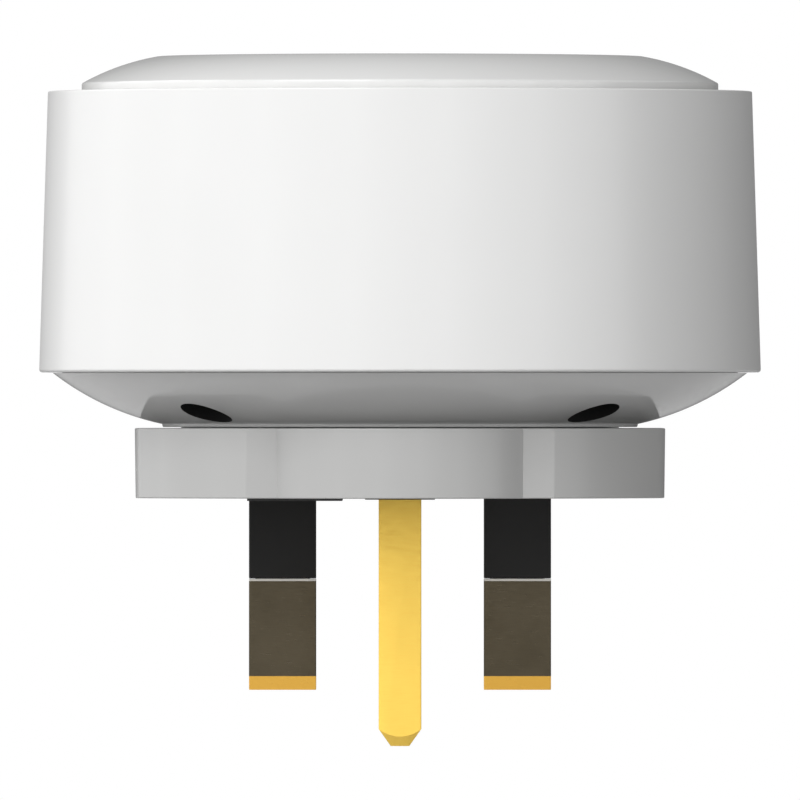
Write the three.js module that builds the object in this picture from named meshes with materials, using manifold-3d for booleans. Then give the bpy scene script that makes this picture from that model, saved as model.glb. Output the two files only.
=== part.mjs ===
// Plug-in power meter: a round mains plug with a matching shuttered socket on its front.
// Millimetres, +Z up. The origin is the centre of the plug plate's pin face. +Z points out of the wall,
// towards the socket face, and the earth pin is on the -Y side.

import * as THREE from 'three';
import { mergeVertices } from 'three/addons/utils/BufferGeometryUtils.js';
import Module from 'manifold-3d';

const wasm = await Module();
wasm.setup();

// ---------------------------------------------------------------- driving dimensions

// The plug pattern: blade pins either side of the centre line, earth pin across from them.
const BLADE_X = 11.1;
const BLADE_Y = 11.1;
const EARTH_Y = -11.1;
const BLADE = { width: 6.35, thickness: 4.0, length: 18.2, chamfer: 1.3, tip: 2.0 };
const NECK = { width: 5.2, thickness: 2.9, top: 5.5 };
const TAIL = { width: 3.6, thickness: 1.6, liveTop: 10.4, neutralTop: 19.2 };
const SLEEVE = { length: 7.7, root: 0.9 };
const EARTH = {
  width: 4.0, depth: 8.0, length: 23.2, tipWidth: 1.74,
  taper: 1.6, tipRadius: 3.37, shoulder: 2.0,
};
const EARTH_TAIL = { width: 3.0, depth: 6.0, top: 17.2 };
const SEAL = { width: 6.6, depth: 10.6, proud: 0.13, root: 0.95 };

// Clearance on each side of a piece in its pocket, and under a piece that stands on the board.
const FIT = 0.05;
const REST = 0.02;

// The plug plate: a disc with two flats, and a round nose that stands out past it on the earth side.
const PLATE = {
  radius: 27.9, halfWidth: 24.86, thickness: 6.56,
  noseRadius: 14.8, noseHalf: 11.5, lobe: 14.4,
};
const SEAT = { radius: 20.6, top: 6.64 };
const SPIGOT = { radius: 18.0, top: 9.0 };

// The fuse lies along Y beside the earth pin, in a carrier that pulls out of the pin face.
const FUSE = {
  x: -9.85, y: -4.2, z: 3.95, length: 25.4,
  radius: 3.15, tubeRadius: 2.7, capLength: 5.6, capFloor: 0.6,
};
const CARRIER = { width: 8.9, back: -17.9, front: 8.9, proud: 0.24, floor: 0.7, wall: 3.0, room: 3.2 };
const CHEEK = { thickness: 0.9, back: -9.0, front: 0.5, endWall: 0.8 };
const GRIP = { halfWidth: 2.05, length: 1.6, depth: 0.3 };
const CLIP = { front: 5.5, back: -14.0, length: 4.8, gap: 0.08, sheet: 0.5, tabWidth: 0.9, tabDepth: 1.7 };
const CLIP_TOP = { front: 10.4, back: 15.4 };
const RIDGE = { halfWidth: 3.5, back: -17.2, front: 8.9, top: 8.4 };
const LINK = { left: -12.25, right: -9.15, back: 4.4, front: 12.3, bottom: 10.45, top: 11.25 };

// The rear cover: a shallow dome under the shell, given by three points of each face as [radius, height].
const DOME_RIM = [32.7, 11.75];
const DOME_MIDDLE = [28.7, 9.2];
const DOME_EDGE = [22.4, 6.94];
const INSIDE_RIM = [30.3, 12.05];
const INSIDE_MIDDLE = [26.7, 10.16];
const INSIDE_EDGE = [22.4, 8.84];
const LIP = { radius: 22.35, bottom: 6.66 };
const COVER = { opening: 18.3, openingTop: 8.64, spigotOuter: 31.8, spigotTop: 14.7 };

// The outer shell: a tapered ring with a flat rim turned in at the top.
const SHELL = {
  bottom: 11.8, top: 38.25, bottomRadius: 33.98, topRadius: 33.15,
  wall: 1.95, hole: 30.15, rim: 1.95, chamfer: 0.12,
};

// The front panel: a shallow dome with a flat socket face, flanged under the shell's rim.
const FACE = { z: 41.54, radius: 22.85, skirtRadius: 29.97, skirtTop: 39.0, wall: 2.2 };
const PANEL_MIDDLE = [27.33, 40.27];
const PANEL_INSIDE = [[22.35, 39.34], [26.33, 38.07], [27.9, 37.2]];
const FLANGE = { radius: 31.1, bottom: 34.6, top: 36.2, inner: 27.9 };
const BLADE_SLOT = { width: 7.2, height: 4.5 };
const EARTH_SLOT = { width: 4.6, height: 8.7 };

// Four long screws from the rear cover into the front panel's pillars.
const SCREW = { offset: 18.1, shank: 1.2, head: 2.25, headBottom: 8.9, headTop: 10.4, top: 24.0 };
const RECESS = { length: 2.6, width: 0.6, depth: 0.8 };
const PILLAR = { radius: 2.5, bottom: 14.95, top: 39.2, bore: 1.3, boreTop: 25.0 };
const BOSS = {
  radius: 3.5, top: 13.15, bottom: 7.2, counterbore: 2.4,
  counterboreTop: 10.5, bore: 1.5, clear: 0.3,
};

// The button: a cap in the face, held by a flange, with a stem down to the switch on the board.
const BUTTON = {
  x: 8.9, y: -16.6, radius: 3.0, top: 41.56,
  flange: 3.7, flangeTop: 39.2, flangeBottom: 38.1,
};
const STEM = { radius: 1.3, bottom: 19.35 };
const SWITCH = { width: 6.0, top: 18.2, plunger: 1.7, plungerBottom: 18.65, plungerTop: 19.3 };

// The boards.
const BOARD = { radius: 29.6, bottom: 13.2, top: 14.8, screwHole: 1.6, tailRoom: 0.2 };
const RADIO = { left: -10.0, right: 5.0, back: -26.5, front: -25.7, bottom: 14.9, top: 33.0 };
const SHIELD = { left: -8.5, right: 3.5, back: -25.6, front: -23.8, bottom: 17.0, top: 27.0, sheet: 0.3 };

// The socket behind the face: sprung contacts in a moulded housing, and a sliding shutter over it.
const LEAF = { halfGap: 1.75, sheet: 0.7, top: 33.6, waist: 3.0, knee: 4.0 };
const BLADE_CONTACT = { halfOuter: 4.0, bottom: 19.3, width: 6.0 };
const EARTH_CONTACT = { halfOuter: 3.5, bottom: 17.3, width: 7.2 };
const LIVE_FOOT = { halfWidth: 1.5, back: -4.0, front: -3.3, top: 20.0 };
const HOUSING = {
  bottom: 19.0, top: 34.5, halfWidth: 15.6, back: 5.3,
  front: 16.9, stem: 5.4, stemBack: -17.6,
};
const BLADE_CELL = { width: 7.6, depth: 9.0 };
const EARTH_CELL = { width: 7.8, depth: 9.6 };
const MIDDLE_CELL = { width: 10.8, depth: 8.2 };
const STEM_CELL = { width: 7.2, depth: 8.0, y: -0.4 };
const FOOT = { inner: 10.0, front: 6.5, stem: 4.0, stemFront: -16.3 };
const RAIL = { inner: 15.1, outer: 16.4, front: 13.6, top: 37.6 };
const SHUTTER = { bottom: 34.7, top: 37.2, halfWidth: 14.9, back: 8.0, front: 14.4, nose: -12.4 };
const RAMP = { front: -6.9, crest: -4.0, top: 38.6, halfWidth: 2.15 };
const SPRING = { radius: 1.25, wire: 0.2, turns: 6, stepsPerTurn: 8, start: 14.5, end: 23.0, z: 36.0 };
const ARM = { halfWidth: 3.0, bottom: 31.6, top: 33.6, front: 24.5, stop: 23.1, stopTop: 38.0 };

// The relay: a case open at the bottom, with its coil, yoke, rocking armature and fixed contact inside.
const RELAY = { halfWidth: 9.2, back: 17.3, front: 27.5, bottom: 14.9, top: 30.25, wall: 0.7 };
const RELAY_BASE = { halfWidth: 8.4, back: 18.1, front: 26.7, top: 15.9 };
const COIL = { x: 2.3, bottom: 16.0, top: 27.1, cheek: 4.1, winding: 3.6, core: 1.6, coreTop: 27.5 };
const YOKE = { left: 6.9, right: 7.7, back: 19.4, front: 25.4, bottom: 16.0, top: 27.9 };
const ARMATURE = { left: -4.6, right: 7.6, back: 19.8, front: 25.0, bottom: 28.1, top: 28.8 };
const RELAY_CONTACT = { left: -6.4, right: -3.4, back: 21.2, front: 23.6, bottom: 16.0, top: 27.1 };

// What else stands on the board.
const FILTER_CAPACITOR = { x: -19.5, y: -1.0, width: 13.0, depth: 7.0, top: 26.5 };
const BULK_CAPACITOR = { x: 21.0, y: -6.0, radius: 4.0, top: 27.0 };
const OUTPUT_CAPACITOR = { x: 21.5, y: 3.5, radius: 3.15, top: 24.0 };
const CHOKE = { x: 11.5, y: -4.0, radius: 4.0, top: 24.0, cheek: 1.3, waist: 0.8 };
const VARISTOR = {
  x: -15.5, z: 21.3, radius: 5.6, back: -10.2,
  front: -6.6, legs: 2.5, leg: 0.7, legTop: 18.5,
};
const FUSE_RESISTOR = { x: -23.5, z: 17.2, radius: 1.7, back: -14.5, front: -6.0 };
const SHUNT = { halfWidth: 4.5, back: 12.2, front: 14.8, top: 17.4, leg: 0.8, strip: 0.7 };
const METERING_CHIP = { x: 0, y: 8.2, width: 9.9, depth: 3.9, top: 16.3 };
const BRIDGE = { x: 23.5, y: 10.5, width: 4.7, depth: 3.9, top: 17.3 };
const LED = { x: 13.4, y: -20.6, width: 2.0, depth: 1.25, top: 15.6 };

// Facets round a circle, from the casings down to the smallest bores.
const ROUND = 64;
const MEDIUM = 28;
const SMALL = 18;
const COARSE = 12;
const ARC_STEPS = 5;
const INSIDE_STEPS = 3;
const WIRE_STEPS = 3;

// How far a cutting solid runs past the face it cuts.
const BEYOND = 1.0;

// ---------------------------------------------------------------- colours

const WHITE = 0xf2f2f0;
const IVORY = 0xe0ded6;
const CERAMIC = 0xe8e2d2;
const BLACK = 0x151515;
const CHARCOAL = 0x24272c;
const BRASS = 0xd9a24a;
const NICKEL = 0xb9b6ac;
const COPPER = 0xb8703c;
const GREEN = 0x1f6b3a;
const BLUE = 0x2a4a80;
const YELLOW = 0xd8b53a;

function material(color, roughness = 0.5, metalness = 0) {
  return new THREE.MeshStandardMaterial({ color, roughness, metalness });
}

// ---------------------------------------------------------------- solid helpers

// Vertices closer than this are one.
const MERGE = 1e-5;

function solidFrom(geometry) {
  const bare = geometry.clone();
  bare.deleteAttribute('normal');
  bare.deleteAttribute('uv');
  const merged = mergeVertices(bare, MERGE);
  return new wasm.Manifold(new wasm.Mesh({
    numProp: 3,
    vertProperties: new Float32Array(merged.attributes.position.array),
    triVerts: new Uint32Array(merged.index.array),
  }));
}

function geometryFrom(solid) {
  const mesh = solid.getMesh();
  const geometry = new THREE.BufferGeometry();
  geometry.setAttribute('position', new THREE.BufferAttribute(new Float32Array(mesh.vertProperties), 3));
  geometry.setIndex(new THREE.BufferAttribute(new Uint32Array(mesh.triVerts), 1));
  geometry.computeVertexNormals();
  return geometry;
}

// Joins the first list of geometries and cuts the second list away.
function carve(joined, cut = []) {
  let solid = solidFrom(joined[0]);
  for (const piece of joined.slice(1)) solid = solid.add(solidFrom(piece));
  for (const piece of cut) solid = solid.subtract(solidFrom(piece));
  return geometryFrom(solid);
}

function common(a, b) {
  return geometryFrom(solidFrom(a).intersect(solidFrom(b)));
}

function box(x0, x1, y0, y1, z0, z1) {
  const geometry = new THREE.BoxGeometry(x1 - x0, y1 - y0, z1 - z0);
  return geometry.translate((x0 + x1) / 2, (y0 + y1) / 2, (z0 + z1) / 2);
}

function block(x, y, width, depth, z0, z1) {
  return box(x - width / 2, x + width / 2, y - depth / 2, y + depth / 2, z0, z1);
}

function post(x, y, radius, z0, z1, steps = SMALL) {
  const geometry = new THREE.CylinderGeometry(radius, radius, z1 - z0, steps);
  return geometry.rotateX(Math.PI / 2).translate(x, y, (z0 + z1) / 2);
}

// A cylinder lying along Y.
function rod(x, z, radius, y0, y1, steps = SMALL) {
  const geometry = new THREE.CylinderGeometry(radius, radius, y1 - y0, steps);
  return geometry.translate(x, (y0 + y1) / 2, z);
}

// Turns a closed outline of [radius, height] points about Z.
// The outline runs anticlockwise, seen with radius to the right.
function turned(points, steps = ROUND) {
  const outline = points.map(([r, z]) => new THREE.Vector2(r, z));
  return new THREE.LatheGeometry(outline, steps).rotateX(Math.PI / 2);
}

// The points of a circular arc through three points, both ends included.
function arcThrough([ax, ay], [bx, by], [cx, cy], steps = ARC_STEPS) {
  const d = 2 * (ax * (by - cy) + bx * (cy - ay) + cx * (ay - by));
  const aa = ax * ax + ay * ay;
  const bb = bx * bx + by * by;
  const cc = cx * cx + cy * cy;
  const x = (aa * (by - cy) + bb * (cy - ay) + cc * (ay - by)) / d;
  const y = (aa * (cx - bx) + bb * (ax - cx) + cc * (bx - ax)) / d;
  const radius = Math.hypot(ax - x, ay - y);
  const start = Math.atan2(ay - y, ax - x);
  const sweep = Math.atan2(cy - y, cx - x) - start;
  const points = [];
  for (let i = 0; i <= steps; i += 1) {
    const angle = start + (sweep * i) / steps;
    points.push([x + radius * Math.cos(angle), y + radius * Math.sin(angle)]);
  }
  return points;
}

function shapeOf(points) {
  return new THREE.Shape(points.map(([x, y]) => new THREE.Vector2(x, y)));
}

// An outline in X and Y, from z0 up to z1.
function slab(points, z0, z1) {
  const geometry = new THREE.ExtrudeGeometry(shapeOf(points), { depth: z1 - z0, bevelEnabled: false });
  return geometry.translate(0, 0, z0);
}

// An outline in Y and Z, from x0 to x1.
function sideProfile(points, x0, x1) {
  const geometry = new THREE.ExtrudeGeometry(shapeOf(points), { depth: x1 - x0, bevelEnabled: false });
  return geometry.rotateY(Math.PI / 2).rotateX(Math.PI / 2).translate(x0, 0, 0);
}

// An outline in X and Z, from y0 to y1.
function frontProfile(points, y0, y1) {
  const geometry = new THREE.ExtrudeGeometry(shapeOf(points), { depth: y1 - y0, bevelEnabled: false });
  return geometry.rotateX(Math.PI / 2).translate(0, y1, 0);
}

// The four screw places, one in each quarter.
function corners() {
  const places = [];
  for (const sx of [-1, 1]) {
    for (const sy of [-1, 1]) places.push([sx * SCREW.offset, sy * SCREW.offset]);
  }
  return places;
}

const model = new THREE.Group();

function add(name, geometry, look) {
  const mesh = new THREE.Mesh(geometry, look);
  mesh.name = name;
  model.add(mesh);
  return mesh;
}

// ---------------------------------------------------------------- casings

function outerShell() {
  const rimBottom = SHELL.top - SHELL.rim;
  return turned([
    [SHELL.bottomRadius - SHELL.wall, SHELL.bottom],
    [SHELL.bottomRadius - SHELL.chamfer, SHELL.bottom],
    [SHELL.bottomRadius, SHELL.bottom + SHELL.chamfer],
    [SHELL.topRadius, SHELL.top],
    [SHELL.hole, SHELL.top],
    [SHELL.hole, rimBottom],
    [SHELL.topRadius - SHELL.wall, rimBottom],
    [SHELL.bottomRadius - SHELL.wall, SHELL.bottom],
  ]);
}

function frontPanel() {
  const outer = arcThrough([FACE.skirtRadius, FACE.skirtTop], PANEL_MIDDLE, [FACE.radius, FACE.z]);
  const inner = arcThrough(...PANEL_INSIDE, INSIDE_STEPS);
  const dome = turned([
    [0, FACE.z - FACE.wall],
    ...inner,
    [FLANGE.inner, FLANGE.bottom],
    [FLANGE.radius, FLANGE.bottom],
    [FLANGE.radius, FLANGE.top],
    [FACE.skirtRadius, FLANGE.top],
    ...outer,
    [0, FACE.z],
  ]);
  const pillars = corners().map(([x, y]) => post(x, y, PILLAR.radius, PILLAR.bottom, PILLAR.top));
  const boreBottom = PILLAR.bottom - BEYOND;
  const bores = corners().map(([x, y]) => post(x, y, PILLAR.bore, boreBottom, PILLAR.boreTop, COARSE));
  const low = FACE.z - FACE.wall - BEYOND;
  const high = FACE.z + BEYOND;
  const slots = [-1, 1].map((side) => (
    block(side * BLADE_X, BLADE_Y, BLADE_SLOT.width, BLADE_SLOT.height, low, high)
  ));
  const earthSlot = block(0, EARTH_Y, EARTH_SLOT.width, EARTH_SLOT.height, low, high);
  const buttonHole = post(BUTTON.x, BUTTON.y, BUTTON.radius + 2 * FIT, low, high, MEDIUM);
  return carve([dome, ...pillars], [...bores, ...slots, earthSlot, buttonHole]);
}

// The space under the dome's outer face, raised a little so that what it cuts stays inside the wall.
function belowDome(outer) {
  const raised = outer.map(([r, z]) => [r, z + BOSS.clear]);
  const [rimRadius, rimHeight] = raised[raised.length - 1];
  return turned([
    [0, 0],
    [rimRadius + BEYOND, 0],
    [rimRadius + BEYOND, rimHeight],
    ...raised.reverse(),
    [0, DOME_EDGE[1] + BOSS.clear],
  ]);
}

function rearCover() {
  const outer = arcThrough(DOME_EDGE, DOME_MIDDLE, DOME_RIM);
  const inner = arcThrough(INSIDE_RIM, INSIDE_MIDDLE, INSIDE_EDGE, INSIDE_STEPS);
  const dome = turned([
    [COVER.opening, LIP.bottom],
    [LIP.radius, LIP.bottom],
    ...outer,
    [COVER.spigotOuter, DOME_RIM[1]],
    [COVER.spigotOuter, COVER.spigotTop],
    [INSIDE_RIM[0], COVER.spigotTop],
    ...inner,
    [COVER.opening, COVER.openingTop],
    [COVER.opening, LIP.bottom],
  ]);
  const bosses = carve(
    corners().map(([x, y]) => post(x, y, BOSS.radius, BOSS.bottom, BOSS.top)),
    [belowDome(outer)],
  );
  const heads = corners().map(([x, y]) => post(x, y, BOSS.counterbore, 0, BOSS.counterboreTop));
  const bores = corners().map(([x, y]) => post(x, y, BOSS.bore, 0, BOSS.top + BEYOND, COARSE));
  const room = 3 * FIT;
  const ridgeRoom = box(
    FUSE.x - RIDGE.halfWidth - room, FUSE.x + RIDGE.halfWidth + room,
    RIDGE.back - room, RIDGE.front + room, 0, BOSS.top,
  );
  return carve([dome, bosses], [...heads, ...bores, ridgeRoom]);
}

// The outline of the pin plate, anticlockwise from the foot of its +X flat. The nose starts from two short
// straight stretches along X, one from each lobe of the disc.
function plateOutline() {
  const { radius, halfWidth, lobe, noseRadius, noseHalf } = PLATE;
  const flatTurn = Math.acos(halfWidth / radius);
  const lobeTurn = Math.acos(lobe / radius);
  const noseTurn = Math.acos(noseHalf / noseRadius);
  const noseY = Math.sqrt(noseRadius ** 2 - noseHalf ** 2) - Math.sqrt(radius ** 2 - lobe ** 2);
  const points = [];
  const sweep = (y, r, from, to, steps) => {
    for (let i = 0; i <= steps; i += 1) {
      const angle = from + ((to - from) * i) / steps;
      points.push([r * Math.cos(angle), y + r * Math.sin(angle)]);
    }
  };
  sweep(0, radius, flatTurn, Math.PI - flatTurn, 24);
  sweep(0, radius, Math.PI + flatTurn, Math.PI + lobeTurn, 6);
  sweep(noseY, noseRadius, Math.PI + noseTurn, 2 * Math.PI - noseTurn, 16);
  sweep(0, radius, -lobeTurn, -flatTurn, 6);
  return points;
}

// A round channel along Y about the fuse's own line.
function fuseChannel(room, back, front) {
  return rod(FUSE.x, FUSE.z, FUSE.radius + room, back, front, MEDIUM);
}

// The bay for the fuse carrier, the fuse's channel, and room for its two clips and their tabs.
function fuseRoom() {
  const half = CARRIER.width / 2 + 2 * FIT;
  const halfFuse = FUSE.length / 2 + 2 * FIT;
  const halfClip = CLIP.length / 2 + 7 * FIT;
  const clipRoom = CLIP.gap + CLIP.sheet + 4 * FIT;
  const cuts = [
    box(FUSE.x - half, FUSE.x + half, CARRIER.back - 2 * FIT, CARRIER.front + 2 * FIT, -BEYOND, CARRIER.room),
    fuseChannel(4 * FIT, FUSE.y - halfFuse, FUSE.y + halfFuse),
  ];
  for (const y of [CLIP.front, CLIP.back]) {
    cuts.push(fuseChannel(clipRoom, y - halfClip, y + halfClip));
    cuts.push(block(FUSE.x, y, CLIP.tabWidth + 4 * FIT, CLIP.tabDepth + 4 * FIT, FUSE.z, RIDGE.top + BEYOND));
  }
  return cuts;
}

// A pocket for a piece of the given width and depth, from below the pin face up to a height.
function pocket(x, y, width, depth, top) {
  return block(x, y, width + 2 * FIT, depth + 2 * FIT, -BEYOND, top);
}

function plugPlate() {
  const body = slab(plateOutline(), 0, PLATE.thickness);
  const seat = post(0, 0, SEAT.radius, PLATE.thickness - 1, SEAT.top, ROUND);
  const spigot = post(0, 0, SPIGOT.radius, PLATE.thickness - 1, SPIGOT.top, ROUND);
  const ridge = box(
    FUSE.x - RIDGE.halfWidth, FUSE.x + RIDGE.halfWidth,
    RIDGE.back, RIDGE.front, PLATE.thickness - 1, RIDGE.top,
  );
  const above = SPIGOT.top + BEYOND;
  const cuts = [
    ...fuseRoom(),
    pocket(0, EARTH_Y, SEAL.width, SEAL.depth, SEAL.root + FIT),
    pocket(0, EARTH_Y, EARTH.width, EARTH.depth, EARTH.shoulder + FIT),
    pocket(0, EARTH_Y, EARTH_TAIL.width, EARTH_TAIL.depth, above),
  ];
  for (const x of [-BLADE_X, BLADE_X]) {
    cuts.push(pocket(x, BLADE_Y, BLADE.width, BLADE.thickness, SLEEVE.root + FIT));
    cuts.push(pocket(x, BLADE_Y, NECK.width, NECK.thickness, NECK.top + FIT));
    cuts.push(pocket(x, BLADE_Y, TAIL.width, TAIL.thickness, above));
  }
  return carve([body, seat, spigot, ridge], cuts);
}

// ---------------------------------------------------------------- pins

// The outline of a bar with a tapered end, centred, from a top height down.
function tipOutline(half, halfTip, length, taper, top) {
  return [
    [-half, top],
    [-half, taper - length],
    [-halfTip, -length],
    [halfTip, -length],
    [half, taper - length],
    [half, top],
  ];
}

// A blade pin: full section below its sleeve, chamfered on its broad faces at the tip.
function bladePin(tailTop) {
  const outline = tipOutline(BLADE.thickness / 2, BLADE.tip / 2, BLADE.length, BLADE.chamfer, -SLEEVE.length);
  const blade = sideProfile(outline, -BLADE.width / 2, BLADE.width / 2);
  const neck = block(0, 0, NECK.width, NECK.thickness, -SLEEVE.length - 1, NECK.top);
  const tail = block(0, 0, TAIL.width, TAIL.thickness, NECK.top - 1, tailTop);
  return carve([blade, neck, tail]);
}

// The sleeve round a blade pin's neck, with its root in the plate.
function sleeve() {
  const outer = block(0, 0, BLADE.width, BLADE.thickness, FIT - SLEEVE.length, SLEEVE.root);
  const bore = block(
    0, 0, NECK.width + 2 * FIT, NECK.thickness + 2 * FIT, -SLEEVE.length - BEYOND, SLEEVE.root + BEYOND,
  );
  return carve([outer], [bore]);
}

// The earth pin: a thick bar with a slimmer tail above its shoulder.
// At the tip its broad sides taper flat, and
// a cone of the same slope takes off its narrow sides.
function earthPin() {
  const halfDepth = EARTH.depth / 2;
  const outline = tipOutline(EARTH.width / 2, EARTH.tipWidth / 2, EARTH.length, EARTH.taper, EARTH.shoulder);
  const bar = frontProfile(outline, -halfDepth, halfDepth);
  const slope = (EARTH.width - EARTH.tipWidth) / 2 / EARTH.taper;
  const height = EARTH.length + EARTH.shoulder;
  const cone = new THREE.CylinderGeometry(EARTH.tipRadius + slope * height, EARTH.tipRadius, height, MEDIUM)
    .rotateX(Math.PI / 2)
    .translate(0, 0, EARTH.shoulder - height / 2);
  const tail = block(0, 0, EARTH_TAIL.width, EARTH_TAIL.depth, EARTH.shoulder - 1, EARTH_TAIL.top);
  return carve([common(bar, cone), tail]);
}

function earthPinSeal() {
  const ring = block(0, EARTH_Y, SEAL.width, SEAL.depth, -SEAL.proud, SEAL.root);
  const hole = block(0, EARTH_Y, EARTH.width + FIT, EARTH.depth + FIT, -BEYOND, SEAL.root + BEYOND);
  return carve([ring], [hole]);
}

// ---------------------------------------------------------------- fuse

// The carrier: a floor in the pin face, an end wall and two cheeks, with a notch to lever it out by.
function fuseCarrier() {
  const left = FUSE.x - CARRIER.width / 2;
  const right = FUSE.x + CARRIER.width / 2;
  const floor = box(left, right, CARRIER.back, CARRIER.front, -CARRIER.proud, CARRIER.floor);
  const endWall = box(left, right, CARRIER.back, CARRIER.back + CHEEK.endWall, 0, CARRIER.wall);
  const cheeks = [
    box(left, left + CHEEK.thickness, CHEEK.back, CHEEK.front, 0, CARRIER.wall),
    box(right - CHEEK.thickness, right, CHEEK.back, CHEEK.front, 0, CARRIER.wall),
  ];
  const grip = box(
    FUSE.x - GRIP.halfWidth, FUSE.x + GRIP.halfWidth,
    CARRIER.front - GRIP.length, CARRIER.front + BEYOND, -BEYOND, GRIP.depth,
  );
  return carve([floor, endWall, ...cheeks], [grip]);
}

// A rod on the fuse's line between two places along Y, given in either order.
function fuseRod(radius, a, b) {
  return rod(FUSE.x, FUSE.z, radius, Math.min(a, b), Math.max(a, b), MEDIUM);
}

function fuseTube() {
  const half = FUSE.length / 2 - FUSE.capFloor - 2 * FIT;
  return fuseRod(FUSE.tubeRadius, FUSE.y - half, FUSE.y + half);
}

function fuseCap(side) {
  const end = FUSE.y + (side * FUSE.length) / 2;
  const mouth = end - side * FUSE.capLength;
  const floor = end - side * FUSE.capFloor;
  return carve(
    [fuseRod(FUSE.radius, end, mouth)],
    [fuseRod(FUSE.tubeRadius + FIT, floor, mouth - side * BEYOND)],
  );
}

// A sprung saddle over a fuse cap, with a tab that goes up through the plate.
function fuseClip(y, tabTop) {
  const inner = FUSE.radius + CLIP.gap;
  const outer = inner + CLIP.sheet;
  const half = CLIP.length / 2;
  const mouth = FUSE.z - 8 * FIT;
  const ring = fuseRod(outer, y - half, y + half);
  const bore = fuseRod(inner, y - half - BEYOND, y + half + BEYOND);
  const below = block(FUSE.x, y, 2 * outer + BEYOND, CLIP.length + BEYOND, mouth - outer - BEYOND, mouth);
  const tab = block(FUSE.x, y, CLIP.tabWidth, CLIP.tabDepth, FUSE.z + inner + CLIP.sheet / 2, tabTop);
  return carve([ring, tab], [bore, below]);
}

// ---------------------------------------------------------------- socket

// A pair of sprung leaves on one base, seen from the end, gripping a pin between them.
function contactOutline({ halfOuter, bottom }) {
  const waist = LEAF.top - LEAF.waist;
  const knee = bottom + LEAF.knee;
  const right = [
    [halfOuter, bottom],
    [halfOuter, knee],
    [LEAF.halfGap + LEAF.sheet, waist],
    [halfOuter, LEAF.top],
    [halfOuter - LEAF.sheet, LEAF.top],
    [LEAF.halfGap, waist],
    [halfOuter - LEAF.sheet, knee],
    [halfOuter - LEAF.sheet, bottom + LEAF.sheet],
  ];
  const left = right.map(([x, z]) => [-x, z]).reverse();
  return [...right, ...left];
}

function bladeContact() {
  const half = BLADE_CONTACT.width / 2;
  return sideProfile(contactOutline(BLADE_CONTACT), -half, half);
}

// The live contact also stands on the board, on a foot under its inner leaf.
function liveContact() {
  const foot = box(
    -LIVE_FOOT.halfWidth, LIVE_FOOT.halfWidth,
    LIVE_FOOT.back, LIVE_FOOT.front,
    BOARD.top + REST, LIVE_FOOT.top,
  );
  return carve([bladeContact(), foot]);
}

function earthContact() {
  const half = EARTH_CONTACT.width / 2;
  return frontProfile(contactOutline(EARTH_CONTACT), EARTH_Y - half, EARTH_Y + half);
}

// The same box on both sides of the centre plane.
function mirrored(inner, outer, y0, y1, z0, z1) {
  return [box(-outer, -inner, y0, y1, z0, z1), box(inner, outer, y0, y1, z0, z1)];
}

// A T-shaped moulding with a cell for each contact, feet on the board, and rails and a stop for the shutter.
function contactHousing() {
  const { bottom, top, halfWidth, back, front } = HOUSING;
  const footBottom = BOARD.top + FIT;
  const parts = [
    box(-halfWidth, halfWidth, back, front, bottom, top),
    box(-HOUSING.stem, HOUSING.stem, HOUSING.stemBack, back + 1, bottom, top),
    box(-FOOT.stem, FOOT.stem, HOUSING.stemBack, FOOT.stemFront, footBottom, bottom + 1),
    ...mirrored(FOOT.inner, halfWidth, back, FOOT.front, footBottom, bottom + 1),
    ...mirrored(RAIL.inner, RAIL.outer, back, RAIL.front, bottom, RAIL.top),
    box(-ARM.halfWidth, ARM.halfWidth, front - 1, ARM.front, ARM.bottom, ARM.top),
    box(-ARM.halfWidth, ARM.halfWidth, ARM.stop, ARM.front, ARM.bottom, ARM.stopTop),
  ];
  const low = bottom - BEYOND;
  const high = top + BEYOND;
  const cells = [
    block(-BLADE_X, BLADE_Y, BLADE_CELL.width, BLADE_CELL.depth, low, high),
    block(BLADE_X, BLADE_Y, BLADE_CELL.width, BLADE_CELL.depth, low, high),
    block(0, EARTH_Y, EARTH_CELL.width, EARTH_CELL.depth, low, high),
    block(0, STEM_CELL.y, STEM_CELL.width, STEM_CELL.depth, low, high),
    block(0, BLADE_Y, MIDDLE_CELL.width, MIDDLE_CELL.depth, low, high),
  ];
  return carve(parts, cells);
}

// The safety shutter: a bar over both blade slots, with a ramp that the earth pin pushes along +Y.
function shutter() {
  const { bottom, top, halfWidth, back, front, nose } = SHUTTER;
  const bar = box(-halfWidth, halfWidth, back, front, bottom, top);
  const stem = sideProfile([
    [nose, bottom],
    [back + 1, bottom],
    [back + 1, top],
    [RAMP.crest, top],
    [RAMP.crest, RAMP.top],
    [RAMP.front, RAMP.top],
  ], -RAMP.halfWidth, RAMP.halfWidth);
  return carve([bar, stem]);
}

class SpringPath extends THREE.Curve {
  getPoint(t, target = new THREE.Vector3()) {
    const angle = 2 * Math.PI * SPRING.turns * t;
    const y = SPRING.start + SPRING.wire + (SPRING.end - SPRING.start - 2 * SPRING.wire) * t;
    return target.set(SPRING.radius * Math.cos(angle), y, SPRING.z + SPRING.radius * Math.sin(angle));
  }
}

function shutterSpring() {
  const wire = new THREE.Shape();
  wire.absarc(0, 0, SPRING.wire, 0, 2 * Math.PI, false);
  return new THREE.ExtrudeGeometry(wire, {
    steps: SPRING.turns * SPRING.stepsPerTurn,
    curveSegments: WIRE_STEPS,
    extrudePath: new SpringPath(),
  });
}

// ---------------------------------------------------------------- button

function pushButton() {
  const cap = post(BUTTON.x, BUTTON.y, BUTTON.radius, BUTTON.flangeTop - 0.5, BUTTON.top, MEDIUM);
  const flange = post(BUTTON.x, BUTTON.y, BUTTON.flange, BUTTON.flangeBottom, BUTTON.flangeTop, MEDIUM);
  const stem = post(BUTTON.x, BUTTON.y, STEM.radius, STEM.bottom, BUTTON.flangeBottom + 0.5);
  return carve([cap, flange, stem]);
}

// ---------------------------------------------------------------- boards

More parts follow.
